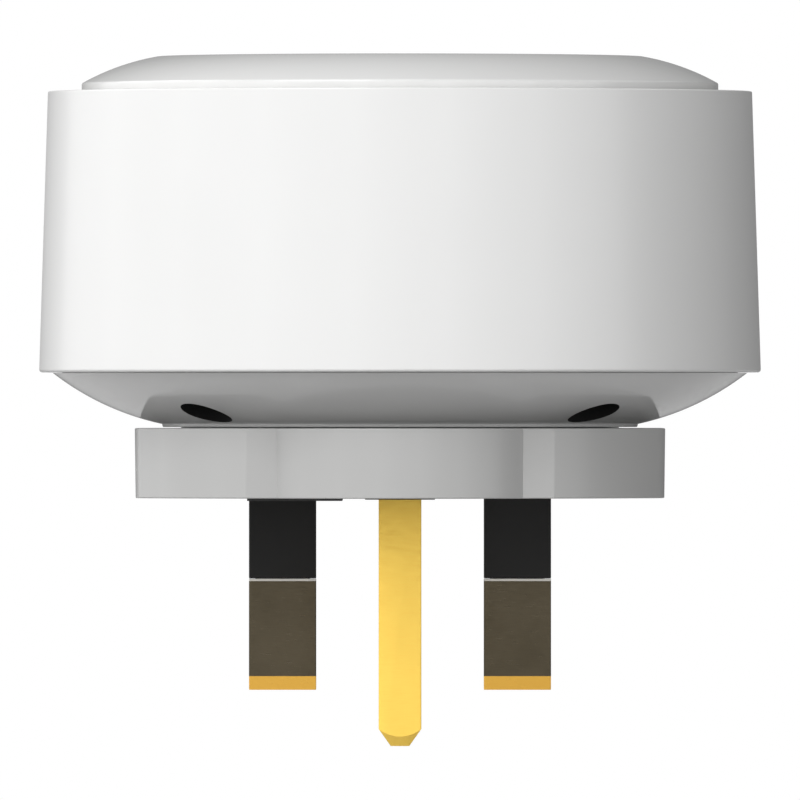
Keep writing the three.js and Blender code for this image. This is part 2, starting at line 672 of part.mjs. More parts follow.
function mainBoard() {
  const disc = post(0, 0, BOARD.radius, BOARD.bottom, BOARD.top, ROUND);
  const low = BOARD.bottom - BEYOND;
  const high = BOARD.top + BEYOND;
  const room = 2 * BOARD.tailRoom;
  const cuts = corners().map(([x, y]) => post(x, y, BOARD.screwHole, low, high, COARSE));
  cuts.push(block(BLADE_X, BLADE_Y, TAIL.width + room, TAIL.thickness + room, low, high));
  cuts.push(block(0, EARTH_Y, EARTH_TAIL.width + room, EARTH_TAIL.depth + room, low, high));
  cuts.push(block(FUSE.x, CLIP.back, CLIP.tabWidth + room, CLIP.tabDepth + room, low, high));
  return carve([disc], cuts);
}

// A box from named sides.
function boxOf({ left, right, back, front, bottom, top }) {
  return box(left, right, back, front, bottom, top);
}

// A can of thin sheet on the radio board, open towards the board.
function radioShield() {
  const { left, right, back, front, bottom, top, sheet } = SHIELD;
  const inside = box(left + sheet, right - sheet, back - BEYOND, front - sheet, bottom + sheet, top - sheet);
  return carve([boxOf(SHIELD)], [inside]);
}

// ---------------------------------------------------------------- relay

function relayCase() {
  const { halfWidth, back, front, bottom, top, wall } = RELAY;
  const outer = box(-halfWidth, halfWidth, back, front, bottom, top);
  const innerHalf = halfWidth - wall;
  const inner = box(-innerHalf, innerHalf, back + wall, front - wall, bottom - BEYOND, top - wall);
  return carve([outer], [inner]);
}

function relayBase() {
  const { halfWidth, back, front, top } = RELAY_BASE;
  return box(-halfWidth, halfWidth, back, front, RELAY.bottom, top);
}

// A wound bobbin between two cheeks, with the end of its core standing proud.
function relayCoil() {
  const { bottom, top, cheek, winding, core, coreTop } = COIL;
  const thickness = 0.7;
  const slope = 0.2;
  const coil = turned([
    [0, bottom],
    [cheek, bottom],
    [cheek, bottom + thickness],
    [winding, bottom + thickness + slope],
    [winding, top - thickness - slope],
    [cheek, top - thickness],
    [cheek, top],
    [core, top],
    [core, coreTop],
    [0, coreTop],
  ], MEDIUM);
  return coil.translate(COIL.x, (RELAY.back + RELAY.front) / 2, 0);
}

// ---------------------------------------------------------------- board components

// An electrolytic capacitor: a can with a rolled groove near its top.
function can({ x, y, radius, top }) {
  const groove = top - 1.6;
  const grooveDepth = 0.35;
  const edge = 0.4;
  return turned([
    [0, BOARD.top + REST],
    [radius, BOARD.top + REST],
    [radius, groove],
    [radius - grooveDepth, groove + edge],
    [radius, groove + 2 * edge],
    [radius, top - edge],
    [radius - edge, top],
    [0, top],
  ], MEDIUM).translate(x, y, 0);
}

function supplyChoke() {
  const { radius, top, cheek, waist } = CHOKE;
  const bottom = BOARD.top + REST;
  return turned([
    [0, bottom],
    [radius, bottom],
    [radius, bottom + cheek],
    [radius - waist, bottom + cheek],
    [radius - waist, top - cheek],
    [radius, top - cheek],
    [radius, top],
    [0, top],
  ], MEDIUM).translate(CHOKE.x, CHOKE.y, 0);
}

function varistor() {
  const { x, z, radius, back, front, leg } = VARISTOR;
  const disc = rod(x, z, radius, back, front, MEDIUM);
  const legs = [-1, 1].map((side) => (
    block(x + side * VARISTOR.legs, (back + front) / 2, leg, leg, BOARD.top + REST, VARISTOR.legTop)
  ));
  return carve([disc, ...legs]);
}

// A bent strip that stands on two legs.
function currentShunt() {
  const { halfWidth, back, front, top, leg, strip } = SHUNT;
  const outer = box(-halfWidth, halfWidth, back, front, BOARD.top + REST, top);
  const archHalf = halfWidth - leg;
  const arch = box(-archHalf, archHalf, back - BEYOND, front + BEYOND, BOARD.bottom, top - strip);
  return carve([outer], [arch]);
}

// A block-shaped component that stands on the board.
function standing({ x, y, width, depth, top }) {
  return block(x, y, width, depth, BOARD.top + REST, top);
}

function housingScrew() {
  const head = post(0, 0, SCREW.head, SCREW.headBottom, SCREW.headTop);
  const shank = post(0, 0, SCREW.shank, SCREW.headTop - 1, SCREW.top, COARSE);
  const low = SCREW.headBottom - BEYOND;
  const high = SCREW.headBottom + RECESS.depth;
  const cross = [
    block(0, 0, RECESS.length, RECESS.width, low, high),
    block(0, 0, RECESS.width, RECESS.length, low, high),
  ];
  return carve([head, shank], cross);
}

// ---------------------------------------------------------------- the assembly

const whitePlastic = () => material(WHITE, 0.25);
const blackPlastic = () => material(BLACK, 0.5);
const darkPlastic = () => material(CHARCOAL, 0.5);
const brass = () => material(BRASS, 0.3, 1);
const nickel = () => material(NICKEL, 0.3, 1);
const copper = () => material(COPPER, 0.4, 1);

add('outer_shell', outerShell(), whitePlastic());
add('front_panel', frontPanel(), whitePlastic());
add('rear_cover', rearCover(), whitePlastic());
add('plug_plate', plugPlate(), whitePlastic());

// Adds the same kind of piece at a blade pin's place.
function addAtBlade(name, geometry, look, side) {
  add(name, geometry, look).position.set(side * BLADE_X, BLADE_Y, 0);
}

addAtBlade('live_pin', bladePin(TAIL.liveTop), brass(), -1);
addAtBlade('neutral_pin', bladePin(TAIL.neutralTop), brass(), 1);
addAtBlade('live_sleeve', sleeve(), blackPlastic(), -1);
addAtBlade('neutral_sleeve', sleeve(), blackPlastic(), 1);
add('earth_pin', earthPin(), brass()).position.set(0, EARTH_Y, 0);
add('earth_pin_seal', earthPinSeal(), blackPlastic());

add('fuse_carrier', fuseCarrier(), blackPlastic());
add('fuse_tube', fuseTube(), material(CERAMIC, 0.4));
add('fuse_cap_front', fuseCap(1), nickel());
add('fuse_cap_back', fuseCap(-1), nickel());
add('live_fuse_clip', fuseClip(CLIP.front, CLIP_TOP.front), copper());
add('load_fuse_clip', fuseClip(CLIP.back, CLIP_TOP.back), copper());
add('live_link', boxOf(LINK), copper());

addAtBlade('neutral_contact', bladeContact(), brass(), 1);
addAtBlade('live_contact', liveContact(), brass(), -1);
add('earth_contact', earthContact(), brass());
add('contact_housing', contactHousing(), material(IVORY, 0.6));
add('shutter', shutter(), material(IVORY, 0.4));
add('shutter_spring', shutterSpring(), nickel());

add('push_button', pushButton(), whitePlastic());
const switchBody = { x: BUTTON.x, y: BUTTON.y, width: SWITCH.width, depth: SWITCH.width, top: SWITCH.top };
add('tact_switch', standing(switchBody), darkPlastic());
add('switch_plunger', post(BUTTON.x, BUTTON.y, SWITCH.plunger, SWITCH.plungerBottom, SWITCH.plungerTop),
  darkPlastic());

add('main_board', mainBoard(), material(GREEN, 0.4));
add('radio_board', boxOf(RADIO), material(BLUE, 0.4));
add('radio_shield', radioShield(), nickel());

add('relay_case', relayCase(), darkPlastic());
add('relay_base', relayBase(), darkPlastic());
add('relay_coil', relayCoil(), copper());
add('relay_yoke', boxOf(YOKE), nickel());
add('relay_armature', boxOf(ARMATURE), nickel());
add('relay_contact', boxOf(RELAY_CONTACT), copper());

add('filter_capacitor', standing(FILTER_CAPACITOR), material(YELLOW, 0.4));
add('bulk_capacitor', can(BULK_CAPACITOR), darkPlastic());
add('output_capacitor', can(OUTPUT_CAPACITOR), darkPlastic());
add('supply_choke', supplyChoke(), darkPlastic());
add('varistor', varistor(), material(BLUE, 0.4));
add('fuse_resistor', rod(
  FUSE_RESISTOR.x, FUSE_RESISTOR.z, FUSE_RESISTOR.radius, FUSE_RESISTOR.back, FUSE_RESISTOR.front,
), material(GREEN, 0.5));
add('current_shunt', currentShunt(), copper());
add('metering_chip', standing(METERING_CHIP), darkPlastic());
add('bridge_rectifier', standing(BRIDGE), darkPlastic());
add('status_led', standing(LED), material(IVORY, 0.2));

corners().forEach(([x, y], index) => {
  add(`housing_screw_${index + 1}`, housingScrew(), nickel()).position.set(x, y, 0);
});

export default model;
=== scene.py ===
import math

import bmesh
import bpy
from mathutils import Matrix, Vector


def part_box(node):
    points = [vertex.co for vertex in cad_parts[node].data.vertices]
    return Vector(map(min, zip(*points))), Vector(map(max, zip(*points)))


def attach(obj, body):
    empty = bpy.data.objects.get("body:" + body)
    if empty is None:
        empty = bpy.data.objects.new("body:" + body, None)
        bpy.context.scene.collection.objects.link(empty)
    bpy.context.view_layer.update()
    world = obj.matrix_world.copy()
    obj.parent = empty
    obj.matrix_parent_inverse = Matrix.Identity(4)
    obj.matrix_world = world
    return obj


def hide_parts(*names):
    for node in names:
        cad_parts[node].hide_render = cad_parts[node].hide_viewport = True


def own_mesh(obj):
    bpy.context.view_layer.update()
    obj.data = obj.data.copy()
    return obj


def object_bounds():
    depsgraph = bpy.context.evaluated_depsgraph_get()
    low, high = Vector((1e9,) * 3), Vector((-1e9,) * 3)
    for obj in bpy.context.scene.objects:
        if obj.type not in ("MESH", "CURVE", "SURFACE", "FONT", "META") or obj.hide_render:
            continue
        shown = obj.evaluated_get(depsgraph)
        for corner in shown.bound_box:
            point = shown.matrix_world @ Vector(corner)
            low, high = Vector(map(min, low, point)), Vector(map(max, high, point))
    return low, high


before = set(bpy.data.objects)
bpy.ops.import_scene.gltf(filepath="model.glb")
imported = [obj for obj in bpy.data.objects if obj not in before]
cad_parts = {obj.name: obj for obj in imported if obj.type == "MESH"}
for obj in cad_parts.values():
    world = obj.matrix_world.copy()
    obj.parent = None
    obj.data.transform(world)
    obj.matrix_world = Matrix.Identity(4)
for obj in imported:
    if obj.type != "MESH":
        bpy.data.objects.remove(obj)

# A plug-in power meter. Metres, +Z from the wall towards the socket face, earth pin towards -Y.

cad_low, cad_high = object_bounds()
MM = 0.001

# ---------------------------------------------------------------- sizes, in millimetres

ROUND_STEPS = 256
FILLET_STEPS = 6


def span(node):
    """A CAD node's lowest and highest corner, in millimetres."""
    low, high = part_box(node)
    return low / MM, high / MM


SHELL_LOW, SHELL_HIGH = span("outer_shell")
PANEL_LOW, PANEL_HIGH = span("front_panel")
COVER_LOW, COVER_HIGH = span("rear_cover")
PLATE_HIGH = span("plug_plate")[1]
LIVE_LOW, LIVE_HIGH = span("live_pin")
EARTH_LOW, EARTH_HIGH = span("earth_pin")
SLEEVE_LOW, SLEEVE_HIGH = span("live_sleeve")
SEAL_LOW, SEAL_HIGH = span("earth_pin_seal")
CARRIER_LOW, CARRIER_HIGH = span("fuse_carrier")
BUTTON_LOW, BUTTON_HIGH = span("push_button")
SCREW_LOW, SCREW_HIGH = span("housing_screw_4")

BLADE_X = (span("neutral_pin")[0].x + span("neutral_pin")[1].x) / 2
BLADE_Y = (LIVE_LOW.y + LIVE_HIGH.y) / 2
EARTH_Y = (EARTH_LOW.y + EARTH_HIGH.y) / 2
BLADE_WIDTH = LIVE_HIGH.x - LIVE_LOW.x
BLADE_THICKNESS = LIVE_HIGH.y - LIVE_LOW.y
BLADE_CHAMFER = 1.3
BLADE_TIP = 2.0
# Height of the painted highlight line under the blade sleeves.
HIGHLIGHT_LINE_HEIGHT = 0.2
EARTH_WIDTH = EARTH_HIGH.x - EARTH_LOW.x
EARTH_DEPTH = EARTH_HIGH.y - EARTH_LOW.y
EARTH_TAPER = 1.6
EARTH_TIP_HALF = 0.87
EARTH_TIP_RADIUS = 3.37
EARTH_SHOULDER = 2.0
NECK_WIDTH = 5.2
NECK_THICKNESS = 2.9
NECK_TOP = 5.5
TAIL_WIDTH = 3.6
TAIL_THICKNESS = 1.6
EARTH_TAIL = (3.0, 6.0)
PIN_GAP = 0.05

SHELL_TOP_RADIUS = 33.15
SHELL_HOLE_RADIUS = 30.15
SHELL_WALL = 1.95

FACE_RADIUS = 22.85
FACE_BEND = (27.33, 40.27)
SKIRT_RADIUS = 29.97
SKIRT_TOP = 39.0
PANEL_WALL = 2.2
FLANGE_RADIUS = 31.1
FLANGE_TOP = 36.2
FLANGE_BOTTOM = 34.6
FLANGE_INNER = 27.9
BLADE_SLOT = (7.2, 4.5)
EARTH_SLOT = (4.6, 8.7)
SLOT_ROUND = 0.35
PILLAR_RADIUS = 2.5
PILLAR_BORE = 1.3

PLATE_RADIUS = 27.9
PLATE_THICKNESS = 6.56
PLATE_DRAFT = 0.08
NOSE_RADIUS = 14.8
NOSE_HALF = 11.5
LOBE_HALF = 14.4
PIN_FACE_ROUND = 0.12
LEDGE_ROUND = 0.12
FLAT_ROUND = 4.5
LOBE_ROUND = 0.5
SEAT_RADIUS = 20.6
SEAT_TOP = 6.64
SPIGOT_RADIUS = 18.0
RIDGE = (7.0, 26.1)
RIDGE_TOP = 8.4
RIDGE_Y = -4.15
RIDGE_GAP = 0.3
CHANNEL = (6.7, 25.6)
CHANNEL_Y = -4.2
CHANNEL_TOP = 6.2
BAY_WIDTH = 9.1
BAY_TOP = 3.2
SEAL_POCKET = (6.7, 10.7)
SEAL_POCKET_TOP = 1.0
THROUGH = 12
POCKET_GAP = 0.1

LIP_RADIUS = 22.35
COVER_WALL = 1.9
DOME_EDGE = (22.4, 6.94)
DOME_MIDDLE = (28.7, 9.2)
DOME_RIM_HEIGHT = 11.75
INSIDE_MIDDLE = (26.7, 8.26)
INSIDE_RIM = (30.3, 10.15)
SOCKET_WALL_RADIUS = 31.8
SOCKET_WALL_TOP = 14.7
COVER_OPENING = 18.3
BOSS_RADIUS = 3.5
BOSS_BOTTOM = 7.2
BOSS_TOP = 13.15
BOSS_CLEAR = 0.3
WELL_RADIUS = 2.4
WELL_TOP = 10.5
BORE_RADIUS = 1.5
SCREW_PLACE = (SCREW_LOW.x + SCREW_HIGH.x) / 2
FUSE_X = (CARRIER_LOW.x + CARRIER_HIGH.x) / 2
BUTTON_X = (BUTTON_LOW.x + BUTTON_HIGH.x) / 2
BUTTON_Y = (BUTTON_LOW.y + BUTTON_HIGH.y) / 2
BUTTON_RADIUS = 3.0
BUTTON_STEM = 1.3
BUTTON_FLANGE_TOP = 2.36
BUTTON_FLANGE_BOTTOM = 3.46
BUTTON_ROUND = 0.25
DISH_DEPTH = 0.16
SPRING_WIRE = 0.2
SPRING_TURNS = 6

# ---------------------------------------------------------------- outlines


def arc_through(a, b, c, steps=24):
    """Points on the circular arc from a through b to c, both ends included."""
    (ax, ay), (bx, by), (cx, cy) = a, b, c
    d = 2 * (ax * (by - cy) + bx * (cy - ay) + cx * (ay - by))
    aa, bb, cc = ax * ax + ay * ay, bx * bx + by * by, cx * cx + cy * cy
    x = (aa * (by - cy) + bb * (cy - ay) + cc * (ay - by)) / d
    y = (aa * (cx - bx) + bb * (ax - cx) + cc * (bx - ax)) / d
    radius = math.hypot(ax - x, ay - y)
    start = math.atan2(ay - y, ax - x)
    sweep = math.atan2(cy - y, cx - x) - start
    angles = [start + sweep * i / steps for i in range(steps + 1)]
    return [(x + radius * math.cos(t), y + radius * math.sin(t)) for t in angles]


def fillet(before, corner, after, radius, steps=FILLET_STEPS):
    """Points on the round that replaces a corner between two straight stretches."""
    p, q, r = Vector(before), Vector(corner), Vector(after)
    u, v = (p - q).normalized(), (r - q).normalized()
    half = u.angle(v) / 2
    reach = min(radius / math.tan(half), (p - q).length * 0.49, (r - q).length * 0.49)
    start, end = q + u * reach, q + v * reach
    centre = q + (u + v).normalized() * (reach / math.cos(half))
    points = []
    for i in range(steps + 1):
        along = start.lerp(end, i / steps) - centre
        points.append(tuple(centre + along.normalized() * (start - centre).length))
    return points


def rounded(corners):
    """A closed outline from (x, y, radius) corners; a corner with no radius stays as one point."""
    points = []
    for i, (x, y, radius) in enumerate(corners):
        if radius:
            before, after = corners[i - 1][:2], corners[(i + 1) % len(corners)][:2]
            points += fillet(before, (x, y), after, radius)
        else:
            points.append((x, y))
    return points


def rectangle(cx, cy, width, height, radius, steps=FILLET_STEPS):
    """A rectangle with round corners, anticlockwise."""
    points = []
    for sx, sy, start in ((1, 1, 0), (-1, 1, 90), (-1, -1, 180), (1, -1, 270)):
        x = cx + sx * (width / 2 - radius)
        y = cy + sy * (height / 2 - radius)
        for i in range(steps + 1):
            t = math.radians(start + 90 * i / steps)
            points.append((x + radius * math.cos(t), y + radius * math.sin(t)))
    return points


def circle(cx, cy, radius, steps=ROUND_STEPS):
    turns = [2 * math.pi * i / steps for i in range(steps)]
    return [(cx + radius * math.cos(t), cy + radius * math.sin(t)) for t in turns]


def screw_places():
    """The axes of the four housing screws."""
    return [(sx * SCREW_PLACE, sy * SCREW_PLACE) for sx in (-1, 1) for sy in (-1, 1)]


def quarter_turn():
    """How far a quarter round of radius one still is from its side and its face, step by step."""
    angles = [math.pi / 2 * i / FILLET_STEPS for i in range(FILLET_STEPS + 1)]
    return [(1 - math.sin(t), 1 - math.cos(t)) for t in angles]


def sweep(cy, radius, start, end, steps):
    """Points on a circle about (0, cy), between two angles."""
    turns = [start + (end - start) * i / steps for i in range(steps + 1)]
    return [(radius * math.cos(t), cy + radius * math.sin(t)) for t in turns]


def blend_corner(points, index, radius):
    """Rounds one corner of a fine outline, using the directions that its neighbours give."""
    count = len(points)
    before, corner, after = points[index - 1], points[index], points[(index + 1) % count]
    p, q, r = Vector(before), Vector(corner), Vector(after)
    turn = (q - p).angle(r - q)
    reach = radius * math.tan(turn / 2)
    start = q + (p - q).normalized() * reach * 3
    end = q + (r - q).normalized() * reach * 3
    arc = fillet(start, q, end, radius, 8)
    kept_before = [k for k in points[:index] if (Vector(k) - q).length > reach]
    kept_after = [k for k in points[index + 1:] if (Vector(k) - q).length > reach]
    return kept_before + arc + kept_after


def shrink(points, distance):
    """A closed anticlockwise outline moved inwards by a small distance, point for point."""
    moved = []
    for i, point in enumerate(points):
        p, q, r = Vector(points[i - 1]), Vector(point), Vector(points[(i + 1) % len(points)])
        u, v = (q - p).normalized(), (r - q).normalized()
        inward = Vector((-u.y - v.y, u.x + v.x)).normalized()
        moved.append(tuple(q + inward * distance / max(inward.dot(Vector((-v.y, v.x))), 0.5)))
    return moved


def plate_outline():
    """The pin plate: a disc with two flats, and a nose that stands out past it on the earth side."""
    radius, half, nose = PLATE_RADIUS, PLATE_HIGH.x, NOSE_RADIUS
    valley_y = math.sqrt(radius ** 2 - LOBE_HALF ** 2)
    nose_y = math.sqrt(nose ** 2 - NOSE_HALF ** 2) - valley_y
    flat = math.acos(half / radius)
    lobe = math.acos(LOBE_HALF / radius)
    valley = math.acos(NOSE_HALF / nose)
    parts = [
        sweep(0, radius, flat, math.pi - flat, 128),
        sweep(0, radius, math.pi + flat, math.pi + lobe, 24),
        sweep(nose_y, nose, math.pi + valley, 2 * math.pi - valley, 64),
        sweep(0, radius, -lobe, -flat, 24),
    ]
    points = [point for part in parts for point in part]
    corners = [parts[0][0], parts[0][-1], parts[1][0], parts[3][-1]]
    for corner in corners:
        points = blend_corner(points, points.index(corner), FLAT_ROUND)
    for corner in (parts[1][-1], parts[3][0]):
        points = blend_corner(points, points.index(corner), LOBE_ROUND)
    return points


# ---------------------------------------------------------------- mesh making


class Skin:
    """A surface built from loops of points, in millimetres, and turned into an object in metres."""

    def __init__(self):
        self.bm = bmesh.new()

    def loop(self, points, z=None):
        """A ring of vertices; two-number points lie at height z."""
        full = [tuple(p) if z is None else (p[0], p[1], z) for p in points]
        return [self.bm.verts.new(Vector(p) * MM) for p in full]

    def bridge(self, a, b):
        for i in range(len(a)):
            j = (i + 1) % len(a)
            self.bm.faces.new((a[i], a[j], b[j], b[i]))

    def walls(self, loops, closed=False):
        pairs = list(zip(loops, loops[1:]))
        if closed:
            pairs.append((loops[-1], loops[0]))
        for a, b in pairs:
            self.bridge(a, b)

    def cap(self, loop):
        self.bm.faces.new(loop)

    def fill(self, outer, holes):
        """A flat face between an outer ring and the rings of its holes."""
        edges = []
        for ring in [outer, *holes]:
            for i, vertex in enumerate(ring):
                pair = (vertex, ring[(i + 1) % len(ring)])
                edges.append(self.bm.edges.get(pair) or self.bm.edges.new(pair))
        bmesh.ops.triangle_fill(self.bm, use_beauty=True, edges=edges)

    def turn(self, outline, steps=ROUND_STEPS, closed=True, at=(0, 0)):
        """Turns a (radius, z) outline about a line along Z through at."""
        loops = [self.loop(circle(at[0], at[1], r, steps), z) for r, z in outline]
        self.walls(loops, closed)
        return loops

    def mesh(self, name):
        bmesh.ops.recalc_face_normals(self.bm, faces=self.bm.faces)
        mesh = bpy.data.meshes.new(name)
        self.bm.to_mesh(mesh)
        self.bm.free()
        return mesh


def place(name, mesh):
    piece = bpy.data.objects.new(name, mesh)
    bpy.context.scene.collection.objects.link(piece)
    return piece


def prism(name, points, z0, z1):
    """A plain closed solid of one outline, for cutting and joining."""
    skin = Skin()
    low, high = skin.loop(points, z0), skin.loop(points, z1)
    skin.cap(low)
    skin.cap(high)
    skin.bridge(low, high)
    return place(name, skin.mesh(name))


def combine(piece, tools, operation, keep=False):
    """Joins or cuts other solids, then removes them unless they are kept for more."""
    for tool in tools:
        step = piece.modifiers.new("step", "BOOLEAN")
        step.operation, step.object, step.solver = operation, tool, "EXACT"
    graph = bpy.context.evaluated_depsgraph_get()
    mesh = bpy.data.meshes.new_from_object(piece.evaluated_get(graph))
    old = piece.data
    piece.modifiers.clear()
    piece.data = mesh
    bpy.data.meshes.remove(old)
    for tool in () if keep else tools:
        bpy.data.objects.remove(tool)


def smooth(piece, angle=28, bevel=0.0, segments=3):
    """Smooth shading with crisp edges, after an optional small round on every sharp edge."""
    if bevel:
        rounding = piece.modifiers.new("edge_round", "BEVEL")
        rounding.width = bevel * MM
        rounding.segments = segments
        rounding.limit_method = "ANGLE"
        rounding.angle_limit = math.radians(30)
        rounding.harden_normals = True
    piece.data.shade_smooth()
    piece.data.set_sharp_from_angle(angle=math.radians(angle))
    if not bevel:
        weigh = piece.modifiers.new("even_normals", "WEIGHTED_NORMAL")
        weigh.keep_sharp = True


def finish_piece(piece, body, slot, look, *nodes):
    """Gives a piece its material and body, and hides the CAD nodes it stands for; the slot argument is not
    used.
    """
    piece.data.materials.clear()
    piece.data.materials.append(look)
    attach(piece, body)
    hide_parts(*nodes)


# ---------------------------------------------------------------- materials


def new_material(name):
    """A node material: its tree, its shader and a function that adds a node."""
    look = bpy.data.materials.new(name)
    look.use_nodes = True
    tree = look.node_tree
    shader = tree.nodes["Principled BSDF"]

    def node(kind, **values):
        made = tree.nodes.new(kind)
        for key, value in values.items():
            if key in made.inputs:
                made.inputs[key].default_value = value
            else:
                setattr(made, key, value)
        return made

    return look, tree, shader, node


def object_noise(tree, node, scale, detail=4.0, stretch=None):
    """Noise in the object's own coordinates, scale in cycles per metre."""
    coordinates = node("ShaderNodeTexCoord")
    noise = node("ShaderNodeTexNoise", Scale=scale, Detail=detail)
    source = coordinates.outputs["Object"]
    if stretch:
        mapping = node("ShaderNodeMapping")
        mapping.inputs["Scale"].default_value = stretch
        tree.links.new(source, mapping.inputs["Vector"])
        source = mapping.outputs["Vector"]
    tree.links.new(source, noise.inputs["Vector"])
    return noise.outputs["Fac"]


def ramp(tree, node, source, low, high, start=0.3, end=0.7):
    """A colour or grey value that follows source from low to high."""
    made = node("ShaderNodeMapRange")
    made.inputs["From Min"].default_value = start
    made.inputs["From Max"].default_value = end
    made.inputs["To Min"].default_value = low
    made.inputs["To Max"].default_value = high
    tree.links.new(source, made.inputs["Value"])
    return made.outputs["Result"]


def mix_colour(tree, node, factor, first, second):
    """Mixes two colours, each a plain tuple or the output of another node."""
    made = node("ShaderNodeMix", data_type="RGBA")
    sockets = [socket for socket in made.inputs if socket.type == "RGBA"]
    for socket, colour in zip(sockets, (first, second)):
        if isinstance(colour, tuple):
            socket.default_value = (*colour, 1)
        else:
            tree.links.new(colour, socket)
    tree.links.new(factor, made.inputs["Factor"])
    return next(socket for socket in made.outputs if socket.type == "RGBA")


def bump(tree, node, shader, height, distance):
    made = node("ShaderNodeBump", Strength=1.0, Distance=distance)
    tree.links.new(height, made.inputs["Height"])
    tree.links.new(made.outputs["Normal"], shader.inputs["Normal"])


def plastic(name, colour, roughness, grain, coat=0.0, variation=0.015, shine=0.5, wells=False):
    """Moulded plastic: faint mottling, uneven gloss and a fine surface grain; with wells, painted
    near-black shade inside the screw wells.
    """
    look, tree, shader, node = new_material(name)
    mottle = object_noise(tree, node, 90, 1)
    darker = tuple(c * (1 - variation) for c in colour)
    lighter = tuple(min(1, c * (1 + variation)) for c in colour)
    tone = mix_colour(tree, node, mottle, darker, lighter)
    smear = object_noise(tree, node, 140, 0)
    rough = ramp(tree, node, smear, roughness * 0.92, roughness * 1.08, 0, 1)
    shader.inputs["Coat Weight"].default_value = coat
    if wells:
        # Painted shade: the inside of the screw wells is coloured near black for the shadow there, with
        # gloss and coat taken away.
        mask = well_painted_shade_mask(tree, node)
        tone = mix_colour(tree, node, mask, tone, WELL_PAINTED_SHADE)
        dull = node("ShaderNodeMath", operation="MAXIMUM")
        tree.links.new(rough, dull.inputs[0])
        tree.links.new(mask, dull.inputs[1])
        rough = dull.outputs["Value"]
        tree.links.new(ramp(tree, node, mask, coat, 0, 0, 1), shader.inputs["Coat Weight"])
    tree.links.new(tone, shader.inputs["Base Color"])
    tree.links.new(rough, shader.inputs["Roughness"])
    fine = object_noise(tree, node, 2600, 2)
    bump(tree, node, shader, fine, grain * MM)
    shader.inputs["Specular IOR Level"].default_value = shine
    shader.inputs["Coat Roughness"].default_value = 0.12
    return look


def well_painted_shade_mask(tree, node):
    """One inside the four screw wells and zero outside them, whatever the height; it places the wells'
    painted shade.
    """
    coordinates = node("ShaderNodeTexCoord")
    flat = node("ShaderNodeVectorMath", operation="MULTIPLY")
    flat.inputs[1].default_value = (1, 1, 0)
    quarter = node("ShaderNodeVectorMath", operation="ABSOLUTE")
    gap = node("ShaderNodeVectorMath", operation="DISTANCE")
    gap.inputs[1].default_value = (SCREW_PLACE * MM, SCREW_PLACE * MM, 0)
    tree.links.new(coordinates.outputs["Object"], flat.inputs[0])
    tree.links.new(flat.outputs["Vector"], quarter.inputs[0])
    tree.links.new(quarter.outputs["Vector"], gap.inputs[0])
    edge = WELL_RADIUS * MM
    return ramp(tree, node, gap.outputs["Value"], 1, 0, edge * 1.004, edge * 1.016)


def circuit_board(name, mask, trace):
    """Glossy solder mask over a grid of slightly lighter copper tracks."""
    look, tree, shader, node = new_material(name)
    coordinates = node("ShaderNodeTexCoord")
    tracks = node("ShaderNodeTexBrick", Scale=260.0)
    tracks.inputs["Mortar Size"].default_value = 0.06
    tree.links.new(coordinates.outputs["Object"], tracks.inputs["Vector"])
    tone = mix_colour(tree, node, tracks.outputs["Fac"], mask, trace)
    tree.links.new(tone, shader.inputs["Base Color"])
    smear = object_noise(tree, node, 300, 3)
    tree.links.new(ramp(tree, node, smear, 0.28, 0.42), shader.inputs["Roughness"])
    bump(tree, node, shader, tracks.outputs["Fac"], 0.03 * MM)
    return look


def metal(name, colour, tarnish, roughness, metallic=1.0, brush=(1, 1, 12), grain=0.004, bands=()):
    """Drawn or stamped metal with brush lines and slight tarnish, and bands of painted reflection and
    highlight along Z.
    """
    look, tree, shader, node = new_material(name)
    shader.inputs["Metallic"].default_value = metallic
    stain = object_noise(tree, node, 240, 4)
    tone = mix_colour(tree, node, ramp(tree, node, stain, 0, 1, 0.35, 0.75), colour, tarnish)
    # Each band paints light onto the metal: the gold reflection at the blade tips and the pale highlight
    # line under the sleeves.
    for height, side, other, bare in bands:
        mask = band(tree, node, height * MM, 0.015 * MM, side)
        tone = mix_colour(tree, node, mask, tone, other)
        if not bare:
            tree.links.new(ramp(tree, node, mask, 1, 0, 0, 1), shader.inputs["Metallic"])
    tree.links.new(tone, shader.inputs["Base Color"])
    lines = object_noise(tree, node, 900, 3, brush)
    tree.links.new(ramp(tree, node, lines, roughness * 0.8, roughness * 1.25), shader.inputs["Roughness"])
    bump(tree, node, shader, lines, grain * MM)
    return look


def band(tree, node, height, soft, side):
    """One above a height in metres, or below it where side is negative, softened over a short stretch."""
    coordinates = node("ShaderNodeTexCoord")
    split = node("ShaderNodeSeparateXYZ")
    tree.links.new(coordinates.outputs["Object"], split.inputs["Vector"])
    low, high = (0, 1) if side > 0 else (1, 0)
    return ramp(tree, node, split.outputs["Z"], low, high, height - soft, height + soft)


def blade_metal():
    """Brass painted dark on the faces as shade, a painted gold reflection band at the chamfered tip, and a
    painted highlight line under the sleeve.
    """
    reflection_top = LIVE_LOW.z + BLADE_CHAMFER
    highlight_line = SLEEVE_LOW.z - PIN_GAP - HIGHLIGHT_LINE_HEIGHT
    bands = ((reflection_top, -1, TIP_PAINTED_REFLECTION, True), (highlight_line, 1, SLEEVE_PAINTED_HIGHLIGHT, False))
    return metal("blade_metal", (0.085, 0.071, 0.048), (0.072, 0.060, 0.040), 0.34, bands=bands)


WHITE = (0.80, 0.80, 0.795)
# Gold painted onto the blades' chamfered tips as a reflection.
TIP_PAINTED_REFLECTION = (1.0, 0.57, 0.10)
# Pale colour painted as a highlight line under the blade sleeves.
SLEEVE_PAINTED_HIGHLIGHT = (0.95, 0.94, 0.90)
# Near-black colour painted inside the screw wells as their shade.
WELL_PAINTED_SHADE = (0.006, 0.006, 0.006)

